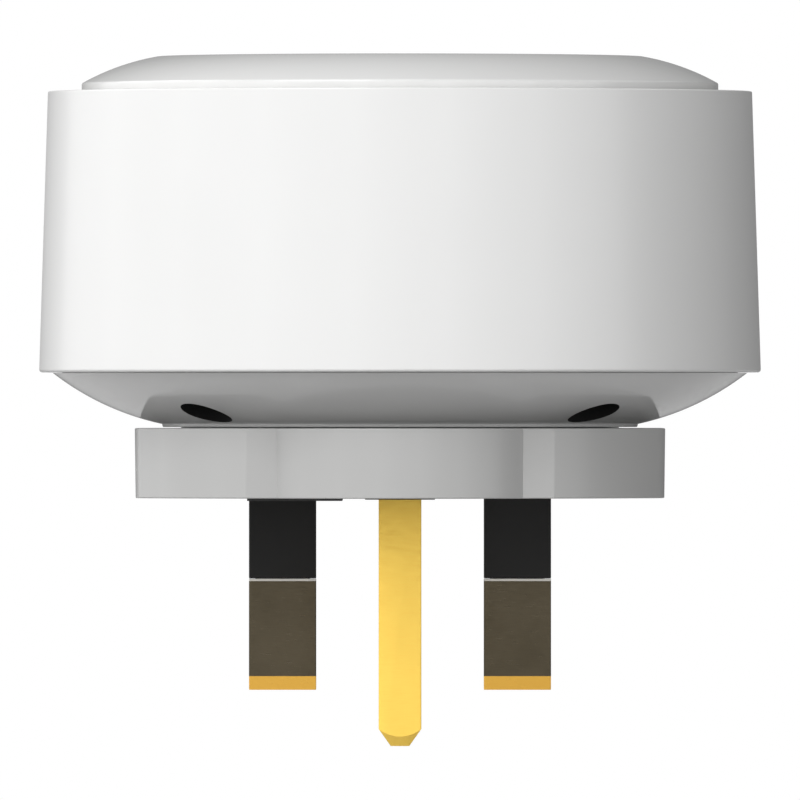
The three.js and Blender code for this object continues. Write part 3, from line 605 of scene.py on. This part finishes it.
SHELL_WHITE = plastic("shell_gloss", WHITE, 0.30, 0.0006, coat=0.15)
FACE_WHITE = plastic("face_gloss", (0.71, 0.71, 0.705), 0.20, 0.0008, coat=0.25)
# The cover's screw wells carry painted near-black shade.
COVER_WHITE = plastic("cover_gloss", (0.78, 0.78, 0.775), 0.16, 0.0006, coat=0.35, wells=True)
# The plate is the shell's white plastic darkened to grey: painted shade from the shell's overhang.
PLATE_PAINTED_SHADE_GREY = plastic("plate_gloss", (0.47, 0.47, 0.465), 0.30, 0.001, coat=0.2)
SLEEVE_BLACK = plastic("sleeve_black", (0.003, 0.003, 0.003), 0.4, 0.002, variation=0.2, shine=0.25)
MATT_BLACK = plastic("matt_black", (0.012, 0.012, 0.012), 0.45, 0.003, variation=0.2)
INNER_WHITE = plastic("inner_plastic", (0.62, 0.61, 0.58), 0.5, 0.004)
SHUTTER_WHITE = plastic("shutter_plastic", (0.70, 0.69, 0.66), 0.4, 0.003)
BLACK_EPOXY = plastic("black_epoxy", (0.02, 0.02, 0.022), 0.5, 0.006, variation=0.2)
CAPACITOR_SLEEVE = plastic("capacitor_sleeve", (0.018, 0.018, 0.03), 0.25, 0.002, coat=0.3, variation=0.1)
CAPACITOR_YELLOW = plastic("capacitor_yellow", (0.80, 0.50, 0.05), 0.38, 0.004, variation=0.04)
VARISTOR_BLUE = plastic("varistor_blue", (0.03, 0.12, 0.45), 0.3, 0.01, coat=0.3, variation=0.08)
RESISTOR_GREEN = plastic("resistor_green", (0.10, 0.26, 0.12), 0.42, 0.008, variation=0.08)
CERAMIC = plastic("fuse_ceramic", (0.76, 0.73, 0.66), 0.32, 0.004, coat=0.2, variation=0.03)
LENS = plastic("led_lens", (0.72, 0.76, 0.70), 0.14, 0.001, coat=0.5)
BOARD_GREEN = circuit_board("board_green", (0.010, 0.10, 0.035), (0.03, 0.19, 0.07))
BOARD_BLUE = circuit_board("board_blue", (0.008, 0.03, 0.16), (0.02, 0.08, 0.30))
EARTH_GOLD = metal("earth_gold", (1.0, 0.68, 0.115), (0.99, 0.665, 0.11), 0.5, 0.5, grain=0.0008)
BLADE_METAL = blade_metal()
CONTACT_BRASS = metal("contact_brass", (0.80, 0.55, 0.24), (0.5, 0.32, 0.12), 0.35)
COPPER = metal("contact_copper", (0.72, 0.38, 0.20), (0.42, 0.2, 0.1), 0.35)
WINDING = metal("coil_winding", (0.72, 0.30, 0.12), (0.50, 0.18, 0.07), 0.3, brush=(12, 1, 1), grain=0.03)
TINNED = metal("plated_metal", (0.66, 0.65, 0.62), (0.42, 0.41, 0.38), 0.35)
STEEL = metal("screw_steel", (0.60, 0.60, 0.61), (0.4, 0.4, 0.4), 0.3)
BLACK_STEEL = metal("black_screw", (0.03, 0.03, 0.032), (0.02, 0.02, 0.02), 0.5)

# ---------------------------------------------------------------- casings


def outer_shell():
    """The tapered side wall with its flat rim, every edge rounded."""
    bottom, top, wide = SHELL_LOW.z, SHELL_HIGH.z, SHELL_HIGH.x
    rim_under = top - SHELL_WALL
    outline = rounded([
        (wide, bottom, 0.28),
        (SHELL_TOP_RADIUS, top, 0.14),
        (SHELL_HOLE_RADIUS, top, 0.22),
        (SHELL_HOLE_RADIUS, rim_under, 0.1),
        (SHELL_TOP_RADIUS - SHELL_WALL, rim_under, 0.4),
        (wide - SHELL_WALL, bottom, 0.15),
    ])
    skin = Skin()
    skin.turn(outline)
    piece = place("shell_body", skin.mesh("shell_body"))
    smooth(piece)
    finish_piece(piece, "housing", "shell_plastic", SHELL_WHITE, "outer_shell")


def slot_mouth(skin, width, height, cx, cy, radius):
    """A slot through the socket face, with a round mouth: returns its rings at both faces."""
    loops = []
    for side, face in quarter_turn():
        out, drop = SLOT_ROUND * side, SLOT_ROUND * face
        if radius is None:
            ring = circle(cx, cy, width / 2 + out, 64)
        else:
            ring = rectangle(cx, cy, width + 2 * out, height + 2 * out, radius + out)
        loops.append(skin.loop(ring, PANEL_HIGH.z - drop))
    under = circle(cx, cy, width / 2, 64) if radius is None else rectangle(cx, cy, width, height, radius)
    loops.append(skin.loop(under, PANEL_HIGH.z - PANEL_WALL))
    skin.walls(loops)
    return loops[0], loops[-1]


def front_panel():
    """The socket face: flat centre with three slots and the button hole, domed out to a short skirt."""
    face_z = PANEL_HIGH.z
    inside_z = face_z - PANEL_WALL
    skin = Skin()
    outer = arc_through((FACE_RADIUS, face_z), FACE_BEND, (SKIRT_RADIUS, SKIRT_TOP), 28)
    outline = [
        *outer[:-1],
        *fillet(outer[-2], outer[-1], (SKIRT_RADIUS, FLANGE_TOP), 0.25),
        (SKIRT_RADIUS, FLANGE_TOP),
        (FLANGE_RADIUS, FLANGE_TOP),
        (FLANGE_RADIUS, FLANGE_BOTTOM),
        (FLANGE_INNER, FLANGE_BOTTOM),
        *arc_through(
            (FLANGE_INNER, SKIRT_TOP - PANEL_WALL + 0.4),
            (FACE_BEND[0] - 1, FACE_BEND[1] - PANEL_WALL),
            (FACE_RADIUS - 0.5, inside_z),
            12,
        ),
    ]
    loops = skin.turn(outline, closed=False)
    tops, unders = [], []
    for width, height, cx, cy, radius in (
        (*BLADE_SLOT, -BLADE_X, BLADE_Y, 0.4),
        (*BLADE_SLOT, BLADE_X, BLADE_Y, 0.4),
        (*EARTH_SLOT, 0, EARTH_Y, 0.4),
        (2 * BUTTON_RADIUS + 0.2, 0, BUTTON_X, BUTTON_Y, None),
    ):
        top, under = slot_mouth(skin, width, height, cx, cy, radius)
        tops.append(top)
        unders.append(under)
    skin.fill(loops[0], tops)
    skin.fill(loops[-1], unders)
    piece = place("socket_face", skin.mesh("socket_face"))
    pillars, bores = [], []
    for x, y in screw_places():
        pillars.append(prism("pillar", circle(x, y, PILLAR_RADIUS, 32), PANEL_LOW.z, SKIRT_TOP + 0.2))
        bores.append(prism("bore", circle(x, y, PILLAR_BORE, 24), PANEL_LOW.z - 1, SCREW_HIGH.z + 1))
    combine(piece, pillars, "UNION")
    combine(piece, bores, "DIFFERENCE")
    smooth(piece, 20)
    finish_piece(piece, "housing", "face_plastic", FACE_WHITE, "front_panel")


def rear_cover():
    """The domed back with its step lip, four screw wells and the spigot inside the shell."""
    lip_z = COVER_LOW.z
    dome = arc_through(DOME_EDGE, DOME_MIDDLE, (COVER_HIGH.x, DOME_RIM_HEIGHT), 40)
    raised = [(r, z + COVER_WALL) for r, z in (INSIDE_RIM, INSIDE_MIDDLE, DOME_EDGE)]
    inner = arc_through(*raised, 16)
    outline = [
        (COVER_OPENING, lip_z),
        *fillet((COVER_OPENING, lip_z), (LIP_RADIUS, lip_z), DOME_EDGE, 0.12),
        *dome,
        (SOCKET_WALL_RADIUS, DOME_RIM_HEIGHT),
        (SOCKET_WALL_RADIUS, SOCKET_WALL_TOP),
        (INSIDE_RIM[0], SOCKET_WALL_TOP),
        *inner,
        (COVER_OPENING, DOME_EDGE[1] + COVER_WALL - 0.2),
    ]
    skin = Skin()
    skin.turn(outline)
    piece = place("back_dome", skin.mesh("back_dome"))
    below = Skin()
    clear = [(r, z + BOSS_CLEAR) for r, z in dome]
    beyond = COVER_HIGH.x + 6
    below.turn([(1, -5), (beyond, -5), (beyond, clear[-1][1]), *reversed(clear), (1, clear[0][1])])
    bosses, wells = [], []
    for x, y in screw_places():
        bosses.append(prism("boss", circle(x, y, BOSS_RADIUS, 48), BOSS_BOTTOM, BOSS_TOP))
        wells.append(prism("well", circle(x, y, WELL_RADIUS, 64), 0, WELL_TOP))
        wells.append(prism("bore", circle(x, y, BORE_RADIUS, 32), 9, BOSS_TOP + 1))
    cutter = place("below_dome", below.mesh("below_dome"))
    for boss in bosses:
        combine(boss, [cutter], "DIFFERENCE", keep=True)
    bpy.data.objects.remove(cutter)
    combine(piece, bosses, "UNION")
    room = rectangle(FUSE_X, RIDGE_Y, RIDGE[0] + RIDGE_GAP, RIDGE[1] + RIDGE_GAP, 0.3)
    wells.append(prism("fuse_room", room, 0, BOSS_TOP))
    combine(piece, wells, "DIFFERENCE")
    smooth(piece, 20)
    finish_piece(piece, "housing", "cover_plastic", COVER_WHITE, "rear_cover")


def pocket(name, x, y, section, radius, top):
    """A cut from below the pin face up to a height, a little wider than the section that it holds."""
    width, depth = section
    return prism(name, rectangle(x, y, width + POCKET_GAP, depth + POCKET_GAP, radius), -1, top)


def plug_plate():
    """The pin plate, drafted and rounded at its pin face, with its seat, spigot and fuse room."""
    skin = Skin()
    outline = plate_outline()
    stations = []
    for side, face in quarter_turn():
        stations.append((PLATE_DRAFT + PIN_FACE_ROUND * side, PIN_FACE_ROUND * face))
    for side, face in quarter_turn():
        stations.append((LEDGE_ROUND * face, PLATE_THICKNESS - LEDGE_ROUND * side))
    loops = [skin.loop(shrink(outline, inset), z) for inset, z in stations]
    skin.cap(loops[0])
    skin.walls(loops)
    skin.cap(loops[-1])
    piece = place("pin_plate", skin.mesh("pin_plate"))
    joined = [
        prism("seat", circle(0, 0, SEAT_RADIUS), PLATE_THICKNESS - 1, SEAT_TOP),
        prism("spigot", circle(0, 0, SPIGOT_RADIUS), PLATE_THICKNESS - 1, PLATE_HIGH.z),
        prism("ridge", rectangle(FUSE_X, RIDGE_Y, *RIDGE, 0.3), PLATE_THICKNESS - 1, RIDGE_TOP),
    ]
    combine(piece, joined, "UNION")
    bay_y = (CARRIER_LOW.y + CARRIER_HIGH.y) / 2
    bay_depth = CARRIER_HIGH.y - CARRIER_LOW.y
    cuts = [
        prism("bay", rectangle(FUSE_X, bay_y, BAY_WIDTH, bay_depth + 0.2, 0.4), -1, BAY_TOP),
        prism("channel", rectangle(FUSE_X, CHANNEL_Y, *CHANNEL, 0.3), -1, CHANNEL_TOP),
        prism("seal_pocket", rectangle(0, EARTH_Y, *SEAL_POCKET, 0.5), -1, SEAL_POCKET_TOP),
        pocket("earth_hole", 0, EARTH_Y, (EARTH_WIDTH, EARTH_DEPTH), 0.3, EARTH_SHOULDER + PIN_GAP),
        pocket("earth_tail", 0, EARTH_Y, EARTH_TAIL, 0.2, THROUGH),
    ]
    for x in (-BLADE_X, BLADE_X):
        root_top = SLEEVE_HIGH.z + PIN_GAP
        cuts.append(pocket("sleeve_root", x, BLADE_Y, (BLADE_WIDTH, BLADE_THICKNESS), 0.3, root_top))
        cuts.append(pocket("neck", x, BLADE_Y, (NECK_WIDTH, NECK_THICKNESS), 0.2, NECK_TOP))
        cuts.append(pocket("tail", x, BLADE_Y, (TAIL_WIDTH, TAIL_THICKNESS), 0.2, THROUGH))
    combine(piece, cuts, "DIFFERENCE")
    smooth(piece, 20)
    finish_piece(piece, "housing", "plate_plastic", PLATE_PAINTED_SHADE_GREY, "plug_plate")


# ---------------------------------------------------------------- pins


def blade_pin(name, node, x):
    """A blade pin: rounded edges, a chamfered tip, and a narrower neck inside its sleeve."""
    bottom, top = span(node)[0].z, span(node)[1].z
    sleeve_end = SLEEVE_LOW.z - PIN_GAP
    skin = Skin()
    stations = [
        (bottom, BLADE_WIDTH - 0.1, BLADE_TIP - 0.1, 0.08),
        (bottom + 0.05, BLADE_WIDTH, BLADE_TIP + 0.05, 0.12),
        (bottom + BLADE_CHAMFER - 0.04, BLADE_WIDTH, BLADE_THICKNESS - 0.06, 0.12),
        (bottom + BLADE_CHAMFER + 0.04, BLADE_WIDTH, BLADE_THICKNESS, 0.12),
        (sleeve_end - 0.02, BLADE_WIDTH, BLADE_THICKNESS, 0.12),
        (sleeve_end, BLADE_WIDTH - 0.04, BLADE_THICKNESS - 0.04, 0.1),
        (sleeve_end, NECK_WIDTH, NECK_THICKNESS, 0.2),
        (NECK_TOP, NECK_WIDTH, NECK_THICKNESS, 0.2),
        (NECK_TOP, TAIL_WIDTH, TAIL_THICKNESS, 0.15),
        (top, TAIL_WIDTH, TAIL_THICKNESS, 0.15),
    ]
    loops = [skin.loop(rectangle(x, BLADE_Y, w, t, r), z) for z, w, t, r in stations]
    skin.cap(loops[0])
    skin.walls(loops)
    skin.cap(loops[-1])
    piece = place(name, skin.mesh(name))
    smooth(piece, 24)
    finish_piece(piece, "housing", "pin_brass", BLADE_METAL, node)


def blade_sleeve(name, node, x):
    """The black sleeve round a blade pin's neck, flush with the metal."""
    low, high = SLEEVE_LOW.z, SLEEVE_HIGH.z
    inner = (NECK_WIDTH + 0.08, NECK_THICKNESS + 0.08, 0.2)
    outer = (BLADE_WIDTH, BLADE_THICKNESS, 0.14)
    stations = [
        (low, *inner),
        (low, outer[0] - 0.1, outer[1] - 0.1, 0.1),
        (low + 0.05, *outer),
        (high, *outer),
        (high, *inner),
    ]
    skin = Skin()
    loops = [skin.loop(rectangle(x, BLADE_Y, w, t, r), z) for z, w, t, r in stations]
    skin.walls(loops, closed=True)
    piece = place(name, skin.mesh(name))
    smooth(piece, 24)
    finish_piece(piece, "housing", "sleeve_plastic", SLEEVE_BLACK, node)


def earth_pin():
    """The thick earth pin: flat tapers on its broad sides, and a cone of the same slope on the others."""
    bottom, top = EARTH_LOW.z, EARTH_HIGH.z
    skin = Skin()
    stations = [
        (bottom, EARTH_WIDTH, EARTH_DEPTH, 0.12),
        (EARTH_SHOULDER, EARTH_WIDTH, EARTH_DEPTH, 0.12),
        (EARTH_SHOULDER, *EARTH_TAIL, 0.12),
        (top, *EARTH_TAIL, 0.12),
    ]
    loops = [skin.loop(rectangle(0, EARTH_Y, w, d, r, 3), z) for z, w, d, r in stations]
    skin.cap(loops[0])
    skin.walls(loops)
    skin.cap(loops[-1])
    piece = place("earth_bar", skin.mesh("earth_bar"))

    slope = (EARTH_WIDTH / 2 - EARTH_TIP_HALF) / EARTH_TAPER
    height = top - bottom + 1
    cone = Skin()
    ends = cone.turn(
        [(EARTH_TIP_RADIUS, bottom), (EARTH_TIP_RADIUS + slope * height, bottom + height)],
        128, closed=False, at=(0, EARTH_Y),
    )
    cone.cap(ends[0])
    cone.cap(ends[-1])

    wedge = Skin()
    wide = EARTH_TIP_HALF + slope * height
    outline = [
        (-EARTH_TIP_HALF, bottom),
        (EARTH_TIP_HALF, bottom),
        (wide, bottom + height),
        (-wide, bottom + height),
    ]
    faces = [wedge.loop([(x, EARTH_Y + y, z) for x, z in outline]) for y in (-EARTH_DEPTH, EARTH_DEPTH)]
    wedge.cap(faces[0])
    wedge.cap(faces[1])
    wedge.walls(faces)

    tools = [place("cone", cone.mesh("cone")), place("wedge", wedge.mesh("wedge"))]
    combine(piece, tools, "INTERSECT")
    smooth(piece, 24, 0.05, 2)
    finish_piece(piece, "housing", "pin_brass", EARTH_GOLD, "earth_pin")


def earth_seal():
    """The thin black collar in the plate round the earth pin."""
    low, high = SEAL_LOW.z, SEAL_HIGH.z
    width, depth = SEAL_HIGH.x - SEAL_LOW.x, SEAL_HIGH.y - SEAL_LOW.y
    stations = [
        (low, EARTH_WIDTH + 0.06, EARTH_DEPTH + 0.06, 0.35),
        (low, width - 0.12, depth - 0.12, 0.5),
        (low + 0.06, width, depth, 0.55),
        (high, width, depth, 0.55),
        (high, EARTH_WIDTH + 0.06, EARTH_DEPTH + 0.06, 0.35),
    ]
    skin = Skin()
    loops = [skin.loop(rectangle(0, EARTH_Y, w, d, r), z) for z, w, d, r in stations]
    skin.walls(loops, closed=True)
    piece = place("earth_collar", skin.mesh("earth_collar"))
    smooth(piece, 24)
    finish_piece(piece, "housing", "sleeve_plastic", MATT_BLACK, "earth_pin_seal")


# ---------------------------------------------------------------- button


def push_button():
    """The round button: a dished cap on a flange and a long stem."""
    top, bottom = BUTTON_HIGH.z, BUTTON_LOW.z
    flange = BUTTON_HIGH.x - BUTTON_X
    dish_edge = BUTTON_RADIUS - 0.5
    dish = arc_through((0.01, top - DISH_DEPTH), (1.3, top - 0.1), (dish_edge, top), 10)
    outline = [
        *dish,
        *fillet((dish_edge, top), (BUTTON_RADIUS, top), (BUTTON_RADIUS, top - 2), BUTTON_ROUND),
        (BUTTON_RADIUS, top - BUTTON_FLANGE_TOP),
        (flange, top - BUTTON_FLANGE_TOP),
        (flange, top - BUTTON_FLANGE_BOTTOM),
        (BUTTON_STEM, top - BUTTON_FLANGE_BOTTOM),
        (BUTTON_STEM, bottom),
    ]
    skin = Skin()
    loops = skin.turn(outline, 96, closed=False, at=(BUTTON_X, BUTTON_Y))
    skin.cap(loops[0])
    skin.cap(loops[-1])
    piece = place("button_cap", skin.mesh("button_cap"))
    smooth(piece, 24)
    finish_piece(piece, "button", "button_plastic", FACE_WHITE, "push_button")


# ---------------------------------------------------------------- shutter spring


def shutter_spring():
    """The coil spring behind the shutter, built at one length; the real one shortens towards its fixed end
    as the shutter slides back.
    """
    low, high = span("shutter_spring")
    middle_x, middle_z = (low.x + high.x) / 2, (low.z + high.z) / 2
    coil = (high.x - low.x) / 2 - SPRING_WIRE
    first, last = low.y + SPRING_WIRE, high.y - SPRING_WIRE
    steps = SPRING_TURNS * 24
    skin = Skin()
    loops = []
    for i in range(steps + 1):
        turn = 2 * math.pi * SPRING_TURNS * i / steps
        y = first + (last - first) * i / steps
        ring = []
        for out, along in circle(0, 0, SPRING_WIRE, 12):
            reach = coil + out
            ring.append((middle_x + reach * math.cos(turn), y + along, middle_z + reach * math.sin(turn)))
        loops.append(skin.loop(ring))
    skin.walls(loops)
    skin.cap(loops[0])
    skin.cap(loops[-1])
    piece = place("spring_coil", skin.mesh("spring_coil"))
    smooth(piece, 40)
    finish_piece(piece, "housing", "spring_steel", STEEL, "shutter_spring")
    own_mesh(piece)


# ---------------------------------------------------------------- CAD nodes kept with new looks


def dress(look, edge, *names):
    """Keeps CAD nodes as they are, with a material and a small round on their edges."""
    for name in names:
        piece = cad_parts[name]
        piece.data.materials.clear()
        piece.data.materials.append(look)
        smooth(piece, 30, edge)


def dress_inside():
    dress(MATT_BLACK, 0.12, "fuse_carrier")
    dress(SHUTTER_WHITE, 0.15, "shutter")
    dress(INNER_WHITE, 0.15, "contact_housing")
    dress(CONTACT_BRASS, 0.06, "live_contact", "neutral_contact", "earth_contact")
    dress(COPPER, 0.05, "live_fuse_clip", "load_fuse_clip", "live_link", "relay_contact", "current_shunt")
    dress(WINDING, 0.0, "relay_coil")
    dress(TINNED, 0.05, "fuse_cap_front", "fuse_cap_back", "radio_shield", "relay_yoke", "relay_armature")
    dress(BLACK_STEEL, 0.06, *(f"housing_screw_{i}" for i in range(1, 5)))
    dress(BLACK_EPOXY, 0.1, "tact_switch", "switch_plunger", "relay_case", "relay_base", "metering_chip")
    dress(BLACK_EPOXY, 0.1, "bridge_rectifier", "supply_choke")
    dress(CAPACITOR_SLEEVE, 0.1, "bulk_capacitor", "output_capacitor")
    dress(CAPACITOR_YELLOW, 0.2, "filter_capacitor")
    dress(VARISTOR_BLUE, 0.1, "varistor")
    dress(RESISTOR_GREEN, 0.1, "fuse_resistor")
    dress(CERAMIC, 0.05, "fuse_tube")
    dress(LENS, 0.05, "status_led")
    dress(BOARD_GREEN, 0.05, "main_board")
    dress(BOARD_BLUE, 0.05, "radio_board")


# ---------------------------------------------------------------- stage

# Panels in metres and watts, the floor in millimetres, the lens in millimetres and the camera in metres.
PANEL_SIZE = 0.6
PANEL_DISTANCE = 1.0
KEY_POWER = 5.0
HIGH_POWER = 2.2
SIDE_POWER = 2.5
RING_POWER = 1.2
RING_RISE = 5
SOFT_WORLD = 0.2
FLOOR_DROP = 40
FLOOR_RADIUS = 650
CAMERA_LENS = 1200.0
CAMERA_DISTANCE = 2.511
VIEW_WIDTH = 0.07533
VIEW_MIDDLE = 0.0092


def floor():
    """A plain pale round floor, well under the pins."""
    skin = Skin()
    skin.cap(skin.loop(circle(0, 0, FLOOR_RADIUS, 128), cad_low.z / MM - FLOOR_DROP))
    piece = place("floor", skin.mesh("floor"))
    look, tree, shader, node = new_material("pale_floor")
    tone = mix_colour(tree, node, object_noise(tree, node, 30, 3), (0.80, 0.80, 0.80), (0.84, 0.84, 0.84))
    tree.links.new(tone, shader.inputs["Base Color"])
    shader.inputs["Roughness"].default_value = 0.9
    piece.data.materials.append(look)
    piece.visible_diffuse = False


def panel_light(name, azimuth, elevation, power):
    """A soft square panel that faces the object; azimuth 0 is in front of it and 90 on its right."""
    centre = (cad_low + cad_high) / 2
    turn, rise = math.radians(azimuth), math.radians(elevation)
    away = Vector((math.sin(turn) * math.cos(rise), -math.cos(turn) * math.cos(rise), math.sin(rise)))
    lamp = bpy.data.lights.new(name, "AREA")
    lamp.shape, lamp.size, lamp.energy = "SQUARE", PANEL_SIZE, power
    piece = bpy.data.objects.new(name, lamp)
    bpy.context.scene.collection.objects.link(piece)
    piece.location = centre + away * PANEL_DISTANCE
    piece.rotation_euler = (-away).to_track_quat("-Z", "Y").to_euler()
    piece.visible_camera = False


def studio():
    """A key light on the left, one above it, one behind it, an even low ring and a faint background."""
    panel_light("key", -30, 35, KEY_POWER)
    panel_light("high", -30, 60, HIGH_POWER)
    panel_light("side", -120, 40, SIDE_POWER)
    for azimuth in range(-120, 61, 30):
        panel_light("ring", azimuth, RING_RISE, RING_POWER)
    world = bpy.data.worlds.new("studio")
    bpy.context.scene.world = world
    world.use_nodes = True
    tree = world.node_tree
    soft = tree.nodes["Background"]
    soft.inputs["Color"].default_value = (1, 1, 1, 1)
    soft.inputs["Strength"].default_value = SOFT_WORLD
    white = tree.nodes.new("ShaderNodeBackground")
    white.inputs["Color"].default_value = (1, 1, 1, 1)
    white.inputs["Strength"].default_value = 1.0
    path = tree.nodes.new("ShaderNodeLightPath")
    choose = tree.nodes.new("ShaderNodeMixShader")
    tree.links.new(path.outputs["Is Camera Ray"], choose.inputs["Fac"])
    tree.links.new(soft.outputs["Background"], choose.inputs[1])
    tree.links.new(white.outputs["Background"], choose.inputs[2])
    tree.links.new(choose.outputs["Shader"], tree.nodes["World Output"].inputs["Surface"])
    bpy.context.scene.view_settings.view_transform = "Standard"


def camera():
    """Level with the object and far off, so that the view is as good as parallel."""
    data = bpy.data.cameras.new("camera")
    data.lens = CAMERA_LENS
    data.sensor_width = VIEW_WIDTH / CAMERA_DISTANCE * CAMERA_LENS
    data.clip_end = 20
    piece = bpy.data.objects.new("camera", data)
    bpy.context.scene.collection.objects.link(piece)
    piece.location = (0, -CAMERA_DISTANCE, VIEW_MIDDLE)
    piece.rotation_euler = (math.pi / 2, 0, 0)
    bpy.context.scene.camera = piece


outer_shell()
front_panel()
rear_cover()
plug_plate()
blade_pin("live_blade", "live_pin", -BLADE_X)
blade_pin("neutral_blade", "neutral_pin", BLADE_X)
blade_sleeve("live_blade_sleeve", "live_sleeve", -BLADE_X)
blade_sleeve("neutral_blade_sleeve", "neutral_sleeve", BLADE_X)
earth_pin()
earth_seal()
push_button()
shutter_spring()
dress_inside()
floor()
studio()
camera()
